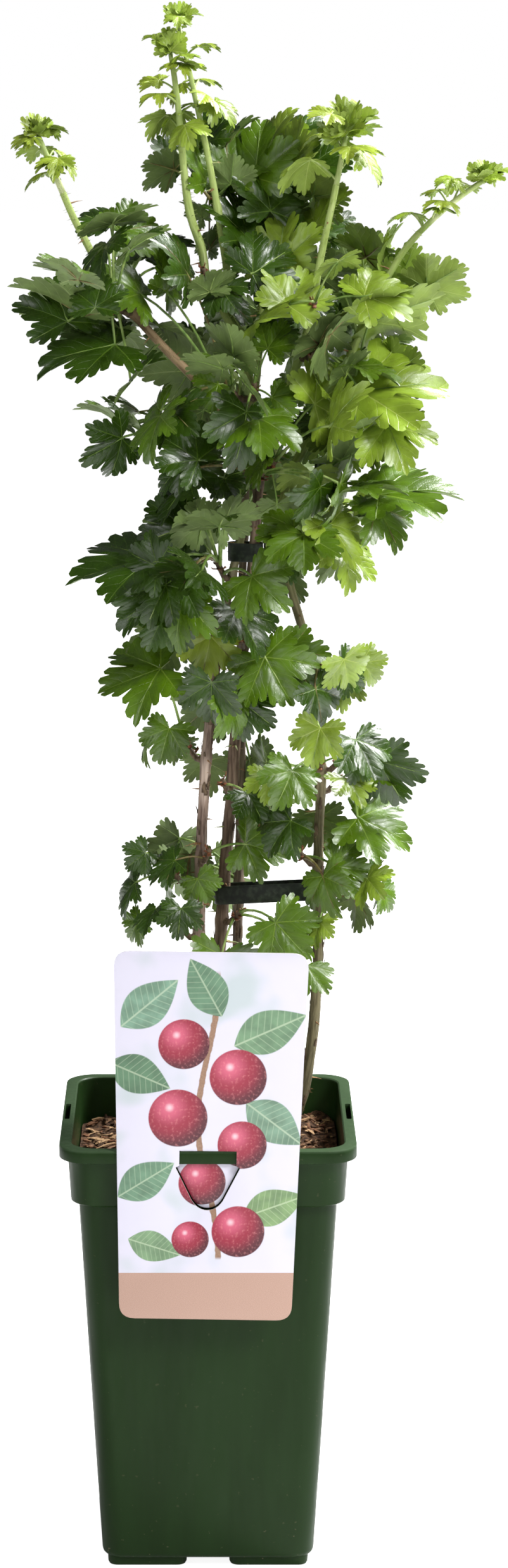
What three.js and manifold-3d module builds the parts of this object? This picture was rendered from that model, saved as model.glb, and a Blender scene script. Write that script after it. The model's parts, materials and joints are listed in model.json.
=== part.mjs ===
// A gooseberry bush in its square nursery pot, in millimetres, +Z up.
// The origin is the centre of the pot's underside, and -Y is the front, where the label hangs.
// Four woody stems carry green shoots, and every mass of leaves grows from one spur by a seeded rule.
import * as THREE from "three";
import { mergeVertices } from "three/addons/utils/BufferGeometryUtils.js";
import Module from "manifold-3d";

const wasm = await Module();
wasm.setup();

// ---- Driving dimensions ----
const GAP = 0.3; // clear space between neighbouring pieces
const ROOM = 0.2; // more space beside a limb, for its straight stretches stand off its curve

const POT_HEIGHT = 228.4;
const RIM_WIDTH = 150; // across the lip
const RIM_CORNER = 15;
const LIP_HEIGHT = 6.8;
const COLLAR_WIDTH = 141.2; // just under the lip
const COLLAR_FOOT_WIDTH = 138.6;
const COLLAR_HEIGHT = 23.6;
const BODY_WIDTH = 130.8; // just under the collar
const BASE_WIDTH = 109;
const BASE_CORNER = 11;
const WALL = 1.9;
const FOOT_HEIGHT = 5;
const FOOT_INSET = 5.2; // from the body's side to the foot's side
const FOOT_CHANNEL = 22; // open channel between two feet
const FOOT_CORNER = 5;
const CENTRE_PAD = 18; // across the round pad under the middle of the base
const DRAIN = 8; // across a drain hole
const SLOT_LENGTH = 29.2; // label slot through the lip, one on each side
const SLOT_WIDTH = 2.7;
const LIP_STRIP = 1.1; // lip left outside a slot

const SOIL_LEVEL = 205;
const SOIL_FLAT = 56; // radius of the level middle, where the stems stand
const SOIL_RELIEF = 3;

const LABEL_TOP = 331;
const LABEL_BOTTOM = 141;
const LABEL_TOP_WIDTH = 96.5;
const LABEL_BOTTOM_WIDTH = 87;
const LABEL_CORNER = 8;
const LABEL_THICK = 0.8;
const LABEL_TILT = 0.93; // degrees
const TONGUE_SHOULDER = 31.4; // across the tongue under the lip
const TONGUE_TIP = 198.5; // height of the tongue's rounded point

const TIE_HEIGHT = 9.4;
const TIE_THICK = 0.8;
const TIE_STEPS = 4; // straight stretches in a half turn
const LOWER_TIE = { level: 345, width: 10.4, lean: 5 };
const UPPER_TIE = { level: 520, width: 9.6, lean: 0 };

const STEM_SIDES = 6;
const LIMB_STEP = 26; // length of one straight stretch of a limb
const FLARE_REACH = 9; // height over which a stem's root flare dies away
const SHOOT_BEND = [3.2, 2.4]; // how far out and up a shoot has come at its first bend

const PETIOLE_FOOT = 0.85; // radius
const PETIOLE_TIP = 0.65;
const GUARD = 0.6; // a new leaf is this much thicker while it is tested against its neighbours
const TRIES = 30;

// ---- Small helpers ----
const DEG = Math.PI / 180;
const UP = new THREE.Vector3(0, 0, 1);
const vec = (x, y, z) => new THREE.Vector3(x, y, z);
const mix = (a, b, t) => a + (b - a) * t;
const clamp = (t) => Math.min(1, Math.max(0, t));

// A direction from its bearing (0 is +X, 90 is +Y, the back) and its rise above level.
function heading(bearing, rise) {
  const level = Math.cos(rise * DEG);
  return vec(
    level * Math.cos(bearing * DEG),
    level * Math.sin(bearing * DEG),
    Math.sin(rise * DEG),
  );
}

// A value read off a short list of [height, value] pairs, straight between them.
function ramp(pairs, height) {
  let value = pairs[0][1];
  for (let i = 1; i < pairs.length; i++) {
    const [low, from] = pairs[i - 1];
    const [high, to] = pairs[i];
    if (height > low) value = mix(from, to, clamp((height - low) / (high - low)));
  }
  return value;
}

// Seeded random numbers, a stream of its own for each mass, leaf and try.
function dice(seed, leaf, attempt) {
  let state = (seed * 7919 + leaf * 104729 + attempt * 1299709) >>> 0;
  return (low, high) => {
    state = (state + 0x6d2b79f5) >>> 0;
    let t = Math.imul(state ^ (state >>> 15), state | 1);
    t ^= t + Math.imul(t ^ (t >>> 7), t | 61);
    return low + ((high - low) * ((t ^ (t >>> 14)) >>> 0)) / 4294967296;
  };
}

function solidOf(geometry) {
  const bare = geometry.clone();
  bare.deleteAttribute("normal");
  bare.deleteAttribute("uv");
  const merged = mergeVertices(bare, 1e-4);
  return new wasm.Manifold(
    new wasm.Mesh({
      numProp: 3,
      vertProperties: merged.attributes.position.array,
      triVerts: new Uint32Array(merged.index.array),
    }),
  );
}

function geometryOf(solid) {
  const mesh = solid.getMesh();
  const geometry = new THREE.BufferGeometry();
  geometry.setAttribute("position", new THREE.BufferAttribute(mesh.vertProperties, 3));
  geometry.setIndex(new THREE.BufferAttribute(mesh.triVerts, 1));
  geometry.computeVertexNormals();
  return geometry;
}

// A closed geometry from corner points and triangles.
function closedGeometry(points, faces) {
  const geometry = new THREE.BufferGeometry();
  geometry.setAttribute(
    "position",
    new THREE.Float32BufferAttribute(points.flatMap((p) => [p.x, p.y, p.z]), 3),
  );
  geometry.setIndex(faces.flat());
  return geometry;
}

// A solid skinned over rings of equally many points, closed by a fan at each end.
function loft(rings) {
  const count = rings[0].length;
  const points = rings.flat();
  const faces = [];
  for (let r = 0; r < rings.length - 1; r++) {
    for (let j = 0; j < count; j++) {
      const a = r * count + j;
      const b = r * count + ((j + 1) % count);
      faces.push([a, b, b + count], [a, b + count, a + count]);
    }
  }
  for (const [ring, turn] of [[0, -1], [rings.length - 1, 1]]) {
    const middle = vec(0, 0, 0);
    rings[ring].forEach((p) => middle.addScaledVector(p, 1 / count));
    const hub = points.push(middle) - 1;
    for (let j = 0; j < count; j++) {
      const a = ring * count + j;
      const b = ring * count + ((j + 1) % count);
      faces.push(turn > 0 ? [hub, a, b] : [hub, b, a]);
    }
  }
  return closedGeometry(points, faces);
}

// A round tube through points, with a radius at each. Its end rings are square to start and end, if given.
function tube(points, radii, sides, start, end) {
  const last = points.length - 1;
  let side = null;
  const rings = points.map((point, i) => {
    const before = points[Math.max(0, i - 1)];
    const after = points[Math.min(last, i + 1)];
    const ahead = vec(0, 0, 0).subVectors(after, before).normalize();
    if (i === 0 && start) ahead.copy(start);
    if (i === last && end) ahead.copy(end);
    if (!side) side = vec(0, 0, 0).crossVectors(Math.abs(ahead.z) < 0.9 ? UP : vec(1, 0, 0), ahead);
    side = side.clone().addScaledVector(ahead, -side.dot(ahead)).normalize();
    const across = vec(0, 0, 0).crossVectors(ahead, side);
    return Array.from({ length: sides }, (_, j) => {
      const turn = (2 * Math.PI * j) / sides;
      return point
        .clone()
        .addScaledVector(side, radii[i] * Math.cos(turn))
        .addScaledVector(across, radii[i] * Math.sin(turn));
    });
  });
  return loft(rings);
}

// ---- The pot ----
const CORNER_STEPS = 3;

// One level ring of a square with round corners.
function squareRing(width, corner, height, middleX = 0, middleY = 0) {
  const ring = [];
  const arm = width / 2 - corner;
  for (const [sx, sy, start] of [[1, -1, -90], [1, 1, 0], [-1, 1, 90], [-1, -1, 180]]) {
    for (let i = 0; i <= CORNER_STEPS; i++) {
      const turn = (start + (90 * i) / CORNER_STEPS) * DEG;
      ring.push(
        vec(
          middleX + sx * arm + corner * Math.cos(turn),
          middleY + sy * arm + corner * Math.sin(turn),
          height,
        ),
      );
    }
  }
  return ring;
}

const LIP_FOOT = POT_HEIGHT - LIP_HEIGHT;
const COLLAR_FOOT = LIP_FOOT - COLLAR_HEIGHT;
const BODY_TOP = COLLAR_FOOT - 1.6;
const SOFT_EDGE = 0.8;

// Width of the body's straight taper at a height.
function bodyWidth(height) {
  return mix(BASE_WIDTH, BODY_WIDTH, (height - FOOT_HEIGHT) / (BODY_TOP - FOOT_HEIGHT));
}

// Rings of the pot's hollow, set in by a margin.
function hollowRings(floor, top, margin) {
  const lipInside = COLLAR_WIDTH - 2 * WALL - 2 * margin;
  const rings = [
    squareRing(bodyWidth(floor) - 2 * WALL - 2 * margin, BASE_CORNER - WALL, floor),
    squareRing(BODY_WIDTH - 2 * WALL - 2 * margin, BASE_CORNER, BODY_TOP + WALL),
    squareRing(COLLAR_FOOT_WIDTH - 2 * WALL - 2 * margin, RIM_CORNER - WALL, COLLAR_FOOT + WALL),
    squareRing(lipInside, RIM_CORNER - WALL, POT_HEIGHT + 2),
  ];
  return rings.filter((ring) => ring[0].z < top);
}

const SLOT_MIDDLE = RIM_WIDTH / 2 - LIP_STRIP - SLOT_WIDTH / 2;
const FLOOR = FOOT_HEIGHT + WALL;

function potSolid() {
  let pot = solidOf(
    loft([
      squareRing(BASE_WIDTH - 5, BASE_CORNER - 2, FOOT_HEIGHT),
      squareRing(BASE_WIDTH, BASE_CORNER, FOOT_HEIGHT + 3),
      squareRing(BODY_WIDTH, BASE_CORNER + 2, BODY_TOP),
      squareRing(COLLAR_FOOT_WIDTH, RIM_CORNER - 2, COLLAR_FOOT),
      squareRing(COLLAR_WIDTH, RIM_CORNER - 2, LIP_FOOT),
      squareRing(RIM_WIDTH - 2 * SOFT_EDGE, RIM_CORNER, LIP_FOOT),
      squareRing(RIM_WIDTH, RIM_CORNER, LIP_FOOT + SOFT_EDGE),
      squareRing(RIM_WIDTH, RIM_CORNER, POT_HEIGHT - SOFT_EDGE),
      squareRing(RIM_WIDTH - 2 * SOFT_EDGE, RIM_CORNER, POT_HEIGHT),
    ]),
  );
  pot = pot.subtract(solidOf(loft(hollowRings(FLOOR, Infinity, 0))));
  // Four feet with open channels between them, and a pad under the middle.
  const footWidth = (BASE_WIDTH - 2 * FOOT_INSET - FOOT_CHANNEL) / 2;
  const footPlace = (FOOT_CHANNEL + footWidth) / 2;
  for (const [sx, sy] of [[1, 1], [1, -1], [-1, 1], [-1, -1]]) {
    const foot = loft([
      squareRing(footWidth - 3, FOOT_CORNER - 1.5, 0, sx * footPlace, sy * footPlace),
      squareRing(footWidth, FOOT_CORNER, 1.5, sx * footPlace, sy * footPlace),
      squareRing(footWidth, FOOT_CORNER, FOOT_HEIGHT + 1, sx * footPlace, sy * footPlace),
    ]);
    pot = pot.add(solidOf(foot));
  }
  const pad = new THREE.CylinderGeometry(CENTRE_PAD / 2, CENTRE_PAD / 2, FOOT_HEIGHT + 1, 16);
  pad.rotateX(90 * DEG).translate(0, 0, (FOOT_HEIGHT + 1) / 2);
  pot = pot.add(solidOf(pad));
  // A drain hole at the outer end of each channel.
  for (const turn of [0, 90, 180, 270]) {
    const drain = new THREE.CylinderGeometry(DRAIN / 2, DRAIN / 2, 4 * WALL, 10);
    drain.rotateX(90 * DEG).translate(BASE_WIDTH / 2 - 17, 0, FLOOR).rotateZ(turn * DEG);
    pot = pot.subtract(solidOf(drain));
    const slot = new THREE.BoxGeometry(SLOT_WIDTH, SLOT_LENGTH, 3 * LIP_HEIGHT);
    slot.translate(SLOT_MIDDLE, 0, POT_HEIGHT - LIP_HEIGHT / 2).rotateZ(turn * DEG);
    pot = pot.subtract(solidOf(slot));
  }
  return pot;
}

// ---- The potting mix: it fills the hollow, level where the stems stand and uneven round them ----
function soilHeight(x, y) {
  const away = clamp((Math.hypot(x, y) - SOIL_FLAT) / 12);
  const waves = Math.sin(x / 9 + 1.2) * Math.cos(y / 11 - 0.6) + (0.9 * x) / RIM_WIDTH;
  return SOIL_LEVEL + away * SOIL_RELIEF * waves;
}

function soilSolid() {
  const inside = COLLAR_FOOT_WIDTH - 2 * WALL - 2 * GAP - 0.4;
  const rings = hollowRings(FLOOR + GAP, SOIL_LEVEL - 4, GAP + 0.1);
  for (const share of [1, 0.86, 0.7, 0.45]) {
    const ring = squareRing(inside * share, (RIM_CORNER - WALL - GAP) * share, 0);
    ring.forEach((p) => (p.z = soilHeight(p.x, p.y)));
    rings.push(ring);
  }
  return solidOf(loft(rings));
}

// ---- The label: a card in front of the rim, held by a tongue pushed down through the lip's slot ----
const CARD_BACK = -(RIM_WIDTH / 2 + GAP);

// A flat shape drawn in X and Z, given its thickness towards the front.
function upright(shape, back, thick) {
  const plate = new THREE.ExtrudeGeometry(shape, { depth: thick, bevelEnabled: false, curveSegments: 5 });
  return plate.rotateX(90 * DEG).translate(0, back, 0);
}

// The tongue's outline, or with a margin the window it leaves in the card.
function tongueOutline(outline, top, margin) {
  const neck = SLOT_LENGTH / 2 - 0.7 + margin;
  const shoulder = TONGUE_SHOULDER / 2 + margin;
  outline.moveTo(-neck, top);
  outline.lineTo(-neck, LIP_FOOT - 0.4);
  outline.lineTo(-shoulder, LIP_FOOT - 1.6);
  outline.lineTo(-7.4 - margin, TONGUE_TIP + 4.6);
  outline.quadraticCurveTo(-4.6, TONGUE_TIP - margin, 0, TONGUE_TIP - margin);
  outline.quadraticCurveTo(4.6, TONGUE_TIP - margin, 7.4 + margin, TONGUE_TIP + 4.6);
  outline.lineTo(shoulder, LIP_FOOT - 1.6);
  outline.lineTo(neck, LIP_FOOT - 0.4);
  outline.lineTo(neck, top);
  outline.closePath();
  return outline;
}

function labelSolid() {
  const card = new THREE.Shape();
  const top = LABEL_TOP_WIDTH / 2;
  const bottom = LABEL_BOTTOM_WIDTH / 2;
  const r = LABEL_CORNER;
  card.moveTo(-bottom + r, LABEL_BOTTOM);
  card.lineTo(bottom - r, LABEL_BOTTOM);
  card.quadraticCurveTo(bottom, LABEL_BOTTOM, bottom, LABEL_BOTTOM + r);
  card.lineTo(top, LABEL_TOP - r);
  card.quadraticCurveTo(top, LABEL_TOP, top - r, LABEL_TOP);
  card.lineTo(-top + r, LABEL_TOP);
  card.quadraticCurveTo(-top, LABEL_TOP, -top, LABEL_TOP - r);
  card.lineTo(-bottom, LABEL_BOTTOM + r);
  card.quadraticCurveTo(-bottom, LABEL_BOTTOM, -bottom + r, LABEL_BOTTOM);
  const plate = upright(card, CARD_BACK, LABEL_THICK);
  plate.translate(0, 0, -POT_HEIGHT).rotateY(LABEL_TILT * DEG).translate(0, 0, POT_HEIGHT);
  const fold = POT_HEIGHT + 0.5;
  const window = upright(tongueOutline(new THREE.Shape(), fold, 0.5), CARD_BACK + 1, LABEL_THICK + 2);
  const tongueBack = -(SLOT_MIDDLE - LABEL_THICK / 2);
  const tongue = upright(tongueOutline(new THREE.Shape(), fold + LABEL_THICK, 0), tongueBack, LABEL_THICK);
  const bridgeFront = CARD_BACK - LABEL_THICK;
  const bridge = new THREE.BoxGeometry(SLOT_LENGTH - 1.4, tongueBack - bridgeFront, LABEL_THICK);
  bridge.translate(0, (tongueBack + bridgeFront) / 2, fold + LABEL_THICK / 2);
  return solidOf(plate).subtract(solidOf(window)).add(solidOf(bridge)).add(solidOf(tongue));
}

// ---- Stems and shoots ----
const GROUND = SOIL_LEVEL + GAP;

// Each limb passes through a few points. A stem starts flat on the ground with a root flare.
// A shoot starts on its parent's side, and ends at the height where its tip's leaves take over.
const LIMBS = {
  stem_left: {
    points: [
      [-13, 3, GROUND], [-8, 0, 258], [-5, -2, 314], [-3, -3, 381],
      [1, -2, 437], [8, 1, 487], [17, 5, 530],
    ],
    foot: 3.4,
    tip: 2.1,
    flare: 2.2,
  },
  stem_centre: {
    points: [
      [3, 6, GROUND], [4, 5, 270], [8, 4, 345], [12, 3, 397],
      [16, 3, 455], [23, 2, 520], [25, 1, 575], [17, 1, 622],
      [8, 2, 641], [-1, 3, 655],
    ],
    foot: 3.5,
    tip: 2.2,
    flare: 2.4,
  },
  stem_right: {
    points: [
      [36, -4, GROUND], [50, -7, 245], [56, -6, 303], [56, -5, 360],
      [57, -3, 415], [53, 0, 460], [41, 4, 505], [36, 7, 535],
      [42, 8, 560],
    ],
    foot: 3.0,
    tip: 1.9,
    flare: 2.0,
  },
  stem_back: {
    points: [
      [14, 19, GROUND], [15, 24, 300], [17, 27, 400], [17, 30, 480],
      [20, 33, 560], [26, 34, 620], [28, 34, 702],
    ],
    foot: 2.8,
    tip: 1.4,
    flare: 1.8,
  },
  shoot_left: {
    parent: "stem_centre",
    height: 572,
    bearing: 200,
    points: [
      [1, -4, 600], [-23, -7, 625], [-47, -8, 653], [-64, -7, 683],
      [-73, -6, 703], [-84, -4, 728],
    ],
    foot: 2.2,
    tip: 1.2,
    end: 700,
  },
  shoot_tall_left: {
    parent: "stem_centre",
    points: [
      [-3, 3, 671], [-10, 3, 695], [-15, 2, 744], [-18.5, 1, 769],
    ],
    foot: 2.0,
    tip: 1.1,
    end: 722,
  },
  shoot_tall_right: {
    parent: "stem_centre",
    height: 612,
    bearing: 60,
    points: [
      [13, 9, 640], [8, 9, 671], [2, 8, 707], [-6.5, 7, 747],
      [-15, 6, 784],
    ],
    foot: 2.0,
    tip: 0.9,
    end: 728,
  },
  shoot_mid_right: {
    parent: "stem_centre",
    height: 560,
    bearing: -20,
    points: [
      [36, -3, 590], [49, -5, 630], [56, -6, 669], [63, -6, 702],
      [68, -5, 728],
    ],
    foot: 2.2,
    tip: 1.1,
    end: 704,
  },
  shoot_far_right: {
    parent: "stem_right",
    points: [
      [54, 8, 583], [67, 7, 607], [78, 6, 635], [97, 5, 670],
      [118, 4, 692], [137, 3, 706],
    ],
    foot: 2.1,
    tip: 1.1,
    end: 680,
  },
};

for (const limb of Object.values(LIMBS)) {
  const points = limb.points.map((p) => vec(...p));
  if (limb.parent && limb.bearing === undefined) {
    const parent = LIMBS[limb.parent];
    limb.start = parent.curve.getTangent(1);
    points.unshift(parent.curve.getPoint(1).addScaledVector(limb.start, GAP + ROOM / 4));
  } else if (limb.parent) {
    const [foot, radius] = onLimb(limb.parent, limb.height);
    const out = heading(limb.bearing, 0);
    const [bendOut, bendUp] = SHOOT_BEND;
    points.unshift(foot.clone().addScaledVector(out, radius + bendOut).addScaledVector(UP, bendUp));
    points.unshift(foot.clone().addScaledVector(out, radius + GAP + ROOM));
    limb.start = out;
  } else {
    limb.start = UP;
  }
  limb.curve = new THREE.CatmullRomCurve3(points, false, "catmullrom", 0.5);
  limb.low = points[0].z;
  limb.high = points[points.length - 1].z;
}

// A limb's radius at a height.
function limbRadius(limb, height) {
  const share = clamp((height - limb.low) / (limb.high - limb.low));
  return mix(limb.foot, limb.tip, share) + (limb.flare ?? 0) * Math.exp(-(height - limb.low) / FLARE_REACH);
}

// The middle of a limb at a height, and its radius there.
function onLimb(name, height) {
  const limb = LIMBS[name];
  let low = 0;
  let high = 1;
  for (let i = 0; i < 40; i++) {
    const t = (low + high) / 2;
    if (limb.curve.getPoint(t).z < height) low = t;
    else high = t;
  }
  return [limb.curve.getPoint(low), limbRadius(limb, height), limb.curve.getTangent(low)];
}

function limbSolid(name, limb) {
  const top = limb.end ?? limb.high;
  const heights = limb.flare ? [limb.low, limb.low + 4, limb.low + 11] : [limb.low, limb.low + 2.4];
  const first = heights[heights.length - 1];
  const steps = Math.ceil((top - first) / LIMB_STEP);
  for (let i = 1; i <= steps; i++) heights.push(mix(first, top, i / steps));
  const rings = heights.map((height) => onLimb(name, height));
  const end = rings[rings.length - 1][2];
  return solidOf(tube(rings.map((r) => r[0]), rings.map((r) => r[1]), STEM_SIDES, limb.start, end));
}

// ---- Leaves ----
// One side of a blade's outline, from its tip to its foot: degrees off the midrib, and share of its length.
const OUTLINE = [[0, 1], [23, 0.66], [42, 0.94], [58, 0.86], [74, 0.54], [95, 0.78], [130, 0.58]];
const YOUNG_OUTLINE = [[0, 1], [25, 0.72], [49, 0.9], [96, 0.62]];

// Rise of a petiole and of a drooping or an upright blade, by height above the pot's underside.
const PETIOLE_RISE = [[340, 8], [520, 14], [600, 24], [680, 44]];
const DROOPING = [[340, -48], [520, -44], [700, -34]];
const UPRIGHT = [[340, 20], [560, 38], [700, 58]];
const UPRIGHT_SHARE = [[480, 0], [560, 0.3], [640, 0.55], [700, 0.85]];
const FACING = 46; // degrees that a blade rolls to show its upper face to the nearer side, front or back
const CROWN_MIDDLE = 9; // y of the plane between front and back

const SPUR_RISE = 36; // degrees from square to its limb
const SPUR_FOOT = 1.7; // radius
const SPUR_TIP = 1.15;
const SPUR_ELBOW = 2.2; // length that stands square to the limb
const SPUR_LENGTH = 8; // without the share of its petioles' reach
const SPUR_SHARE = 0.16;
const FAN = 78; // degrees from a mass's own bearing to its outermost leaf

// A leaf's frame: the petiole's course, and the blade's midrib, side and upper face.
function leafFrame(leaf, bearing, pitch, jitter) {
  const rib = heading(bearing, pitch);
  const face = heading(bearing, pitch + 90);
  const side = vec(0, 0, 0).crossVectors(face, rib);
  const nearer = leaf.base.y < CROWN_MIDDLE ? -1 : 1;
  const roll = (jitter - FACING * side.y * nearer) * DEG;
  leaf.rib = rib;
  leaf.across = side.clone().multiplyScalar(Math.cos(roll)).addScaledVector(face, Math.sin(roll));
  leaf.upper = face.clone().multiplyScalar(Math.cos(roll)).addScaledVector(side, -Math.sin(roll));
  return leaf;
}

// A point of the blade, raised from its own plane by the fold along the midrib and the droop of its edge.
function bladePoint(leaf, turn, reach, grow) {
  const out = leaf.length * reach * grow;
  const lift = leaf.length * (leaf.fold * Math.abs(Math.sin(turn)) * reach - leaf.droop * reach * reach);
  return leaf.base
    .clone()
    .addScaledVector(leaf.rib, out * Math.cos(turn))
    .addScaledVector(leaf.across, out * Math.sin(turn))
    .addScaledVector(leaf.upper, lift);
}

// The blade's edge, from the lobe at one side of its foot round the tip to the other.
function bladeRim(leaf, grow) {
  const half = leaf.outline.map(([turn, reach]) => [turn * DEG, reach]);
  const other = half.slice(1).reverse().map(([turn, reach]) => [-turn, reach]);
  return [...other, ...half].map(([turn, reach]) => bladePoint(leaf, turn, reach, grow));
}

// A three-cornered section of a petiole, one corner up.
function petioleRing(middle, ahead, across, radius) {
  const side = across.clone().addScaledVector(ahead, -across.dot(ahead)).normalize();
  const top = vec(0, 0, 0).crossVectors(ahead, side);
  return [-30, 90, 210].map((turn) =>
    middle
      .clone()
      .addScaledVector(side, radius * Math.cos(turn * DEG))
      .addScaledVector(top, radius * Math.sin(turn * DEG)),
  );
}

// A whole leaf as one closed surface: the thin blade fans out from its petiole's last corners.
function leafSolid(leaf) {
  const rings = [
    [leaf.root, leaf.bend.clone().sub(leaf.root).normalize(), PETIOLE_FOOT],
    [leaf.bend, leaf.base.clone().sub(leaf.root).normalize(), mix(PETIOLE_FOOT, PETIOLE_TIP, 0.6)],
    [leaf.base, leaf.rib, PETIOLE_TIP],
  ].map(([middle, ahead, radius]) => petioleRing(middle, ahead, leaf.across, radius));
  const faces = [[0, 2, 1]];
  for (let r = 0; r < 6; r += 3) {
    for (let j = 0; j < 3; j++) {
      const next = (j + 1) % 3;
      faces.push([r + j, r + next, r + next + 3], [r + j, r + next + 3, r + j + 3]);
    }
  }
  const rim = bladeRim(leaf, 1);
  const [left, top, right] = [6, 7, 8];
  const first = 9;
  const last = first + rim.length - 1;
  const tip = (first + last) / 2;
  for (let j = first; j < last; j++) {
    faces.push([top, j, j + 1], [j < tip ? right : left, j + 1, j]);
  }
  faces.push([top, last, left], [top, right, first], [right, left, tip]);
  return solidOf(closedGeometry([...rings.flat(), ...rim], faces));
}

// The room that a new leaf needs: its blade a little larger, with a thick edge.
function bladeGuard(leaf) {
  const rim = bladeRim(leaf, 1.04);
  const count = rim.length;
  const points = [
    ...rim.map((p) => p.clone().addScaledVector(leaf.upper, -GUARD)),
    ...rim.map((p) => p.clone().addScaledVector(leaf.upper, GUARD)),
    leaf.base.clone().addScaledVector(leaf.upper, -GUARD - PETIOLE_TIP),
    leaf.base.clone().addScaledVector(leaf.upper, GUARD + PETIOLE_TIP),
  ];
  const faces = [];
  for (let j = 0; j < count; j++) {
    const next = (j + 1) % count;
    faces.push([j, next, next + count], [j, next + count, j + count]);
    faces.push([2 * count, next, j], [2 * count + 1, j + count, next + count]);
  }
  return solidOf(closedGeometry(points, faces));
}

function petioleGuard(leaf) {
  const radius = PETIOLE_FOOT + 0.4;
  return solidOf(tube([leaf.root, leaf.bend, leaf.base], [radius, radius, radius], 4));
}

// ---- Masses of leaves ----
// name, limb, height of its spur, bearing, reach of its petioles, leaves, length of a blade, seed
const MASSES = [
  ["leaves_left_foot", "stem_left", 322, 216, 28, 4, 22, 79],
  ["leaves_left_low_front", "stem_left", 363, 289, 27, 3, 29, 56],
  ["leaves_left_low_side", "stem_left", 347, 182, 27, 5, 23, 66],
  ["leaves_left_mid_side", "stem_left", 414, 155, 24, 5, 23, 65],
  ["leaves_left_twig", "stem_left", 443, 263, 23, 4, 27, 68],
  ["leaves_left_bend", "stem_left", 482, 197, 30, 5, 33, 15],
  ["leaves_left_upper", "stem_left", 506, 227, 53, 6, 35, 75],
  ["leaves_centre_foot", "stem_centre", 329, 311, 31, 4, 27, 86],
  ["leaves_centre_gap", "stem_centre", 398, 245, 19, 3, 26, 42],
  ["leaves_centre_front", "stem_centre", 452, 322, 27, 5, 31, 15],
  ["leaves_centre_mid", "stem_centre", 472, 263, 25, 5, 33, 41],
  ["leaves_centre_high_front", "stem_centre", 554, 278, 41, 5, 37, 37],
  ["leaves_centre_high_right", "stem_centre", 559, 302, 48, 5, 30, 48],
  ["leaves_centre_high_left", "stem_centre", 570, 153, 60, 6, 37, 30],
  ["leaves_centre_crown_left", "stem_centre", 598, 206, 62, 6, 37, 39],
  ["leaves_centre_crown_front", "stem_centre", 598, 279, 41, 5, 37, 93],
  ["leaves_centre_top", "stem_centre", 654, 285, 35, 5, 34, 98],
  ["leaves_right_foot", "stem_right", 300, 257, 16, 4, 29, 72],
  ["leaves_right_low_side", "stem_right", 341, -22, 30, 5, 23, 81],
  ["leaves_right_low_front", "stem_right", 361, 220, 24, 3, 33, 31],
  ["leaves_right_spur", "stem_right", 398, 32, 26, 5, 25, 64],
  ["leaves_right_inner", "stem_right", 410, 267, 39, 5, 27, 94],
  ["leaves_right_back", "stem_right", 403, 109, 41, 6, 32, 50],
  ["leaves_right_mid_side", "stem_right", 409, -5, 28, 5, 31, 75],
  ["leaves_right_upper_front", "stem_right", 458, 288, 18, 4, 25, 7],
  ["leaves_right_upper_side", "stem_right", 454, 18, 21, 6, 27, 36],
  ["leaves_right_high_side", "stem_right", 515, 377, 34, 6, 29, 48],
  ["leaves_right_crown", "stem_right", 532, -43, 47, 6, 31, 62],
  ["leaves_back_low", "stem_back", 343, 100, 44, 6, 30, 42],
  ["leaves_back_mid", "stem_back", 425, 101, 31, 6, 30, 32],
  ["leaves_back_high", "stem_back", 523, 91, 48, 7, 36, 45],
  ["leaves_back_crown", "stem_back", 574, 93, 56, 7, 37, 7],
  ["leaves_back_shoulder", "stem_back", 632, 37, 60, 7, 39, 42],
  ["leaves_back_top", "stem_back", 686, 45, 30, 7, 33, 37],
  ["leaves_left_shoot_foot", "shoot_left", 642, 244, 49, 6, 39, 91],
  ["leaves_left_shoot_mid", "shoot_left", 644, 90, 38, 5, 34, 2],
  ["leaves_mid_shoot_foot", "shoot_mid_right", 619, 309, 34, 5, 35, 62],
  ["leaves_mid_shoot_side", "shoot_mid_right", 640, 271, 36, 5, 34, 56],
  ["leaves_far_shoot_foot", "shoot_far_right", 590, 330, 30, 5, 33, 63],
  ["leaves_far_shoot_mid", "shoot_far_right", 635, 47, 27, 5, 31, 23],
  ["leaves_tall_shoot", "shoot_tall_right", 691, 103, 33, 5, 27, 49],
];

// A mass before its leaves: the spur it grows from, and the space it keeps to.
function massOf([name, limbName, height, bearing, reach, leaves, blade, seed]) {
  const [middle, radius, ahead] = onLimb(limbName, height);
  const level = heading(bearing, 0);
  const out = level.clone().addScaledVector(ahead, -level.dot(ahead)).normalize();
  const slant = out.clone().multiplyScalar(Math.cos(SPUR_RISE * DEG));
  slant.addScaledVector(ahead, Math.sin(SPUR_RISE * DEG));
  const foot = middle.clone().addScaledVector(out, radius + GAP + ROOM);
  const elbow = foot.clone().addScaledVector(out, SPUR_ELBOW);
  const spurTip = foot.clone().addScaledVector(slant, SPUR_LENGTH + SPUR_SHARE * reach);
  const radii = [SPUR_FOOT, mix(SPUR_FOOT, SPUR_TIP, 0.4), SPUR_TIP];
  const stem = solidOf(tube([foot, elbow, spurTip], radii, 3, out));
  const centre = foot.clone().addScaledVector(heading(bearing, 8), 0.75 * reach);
  const space = 0.75 * reach + 1.25 * blade;
  return { name, bearing, reach, leaves, blade, seed, elbow, spurTip, stem, centre, space };
}

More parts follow.
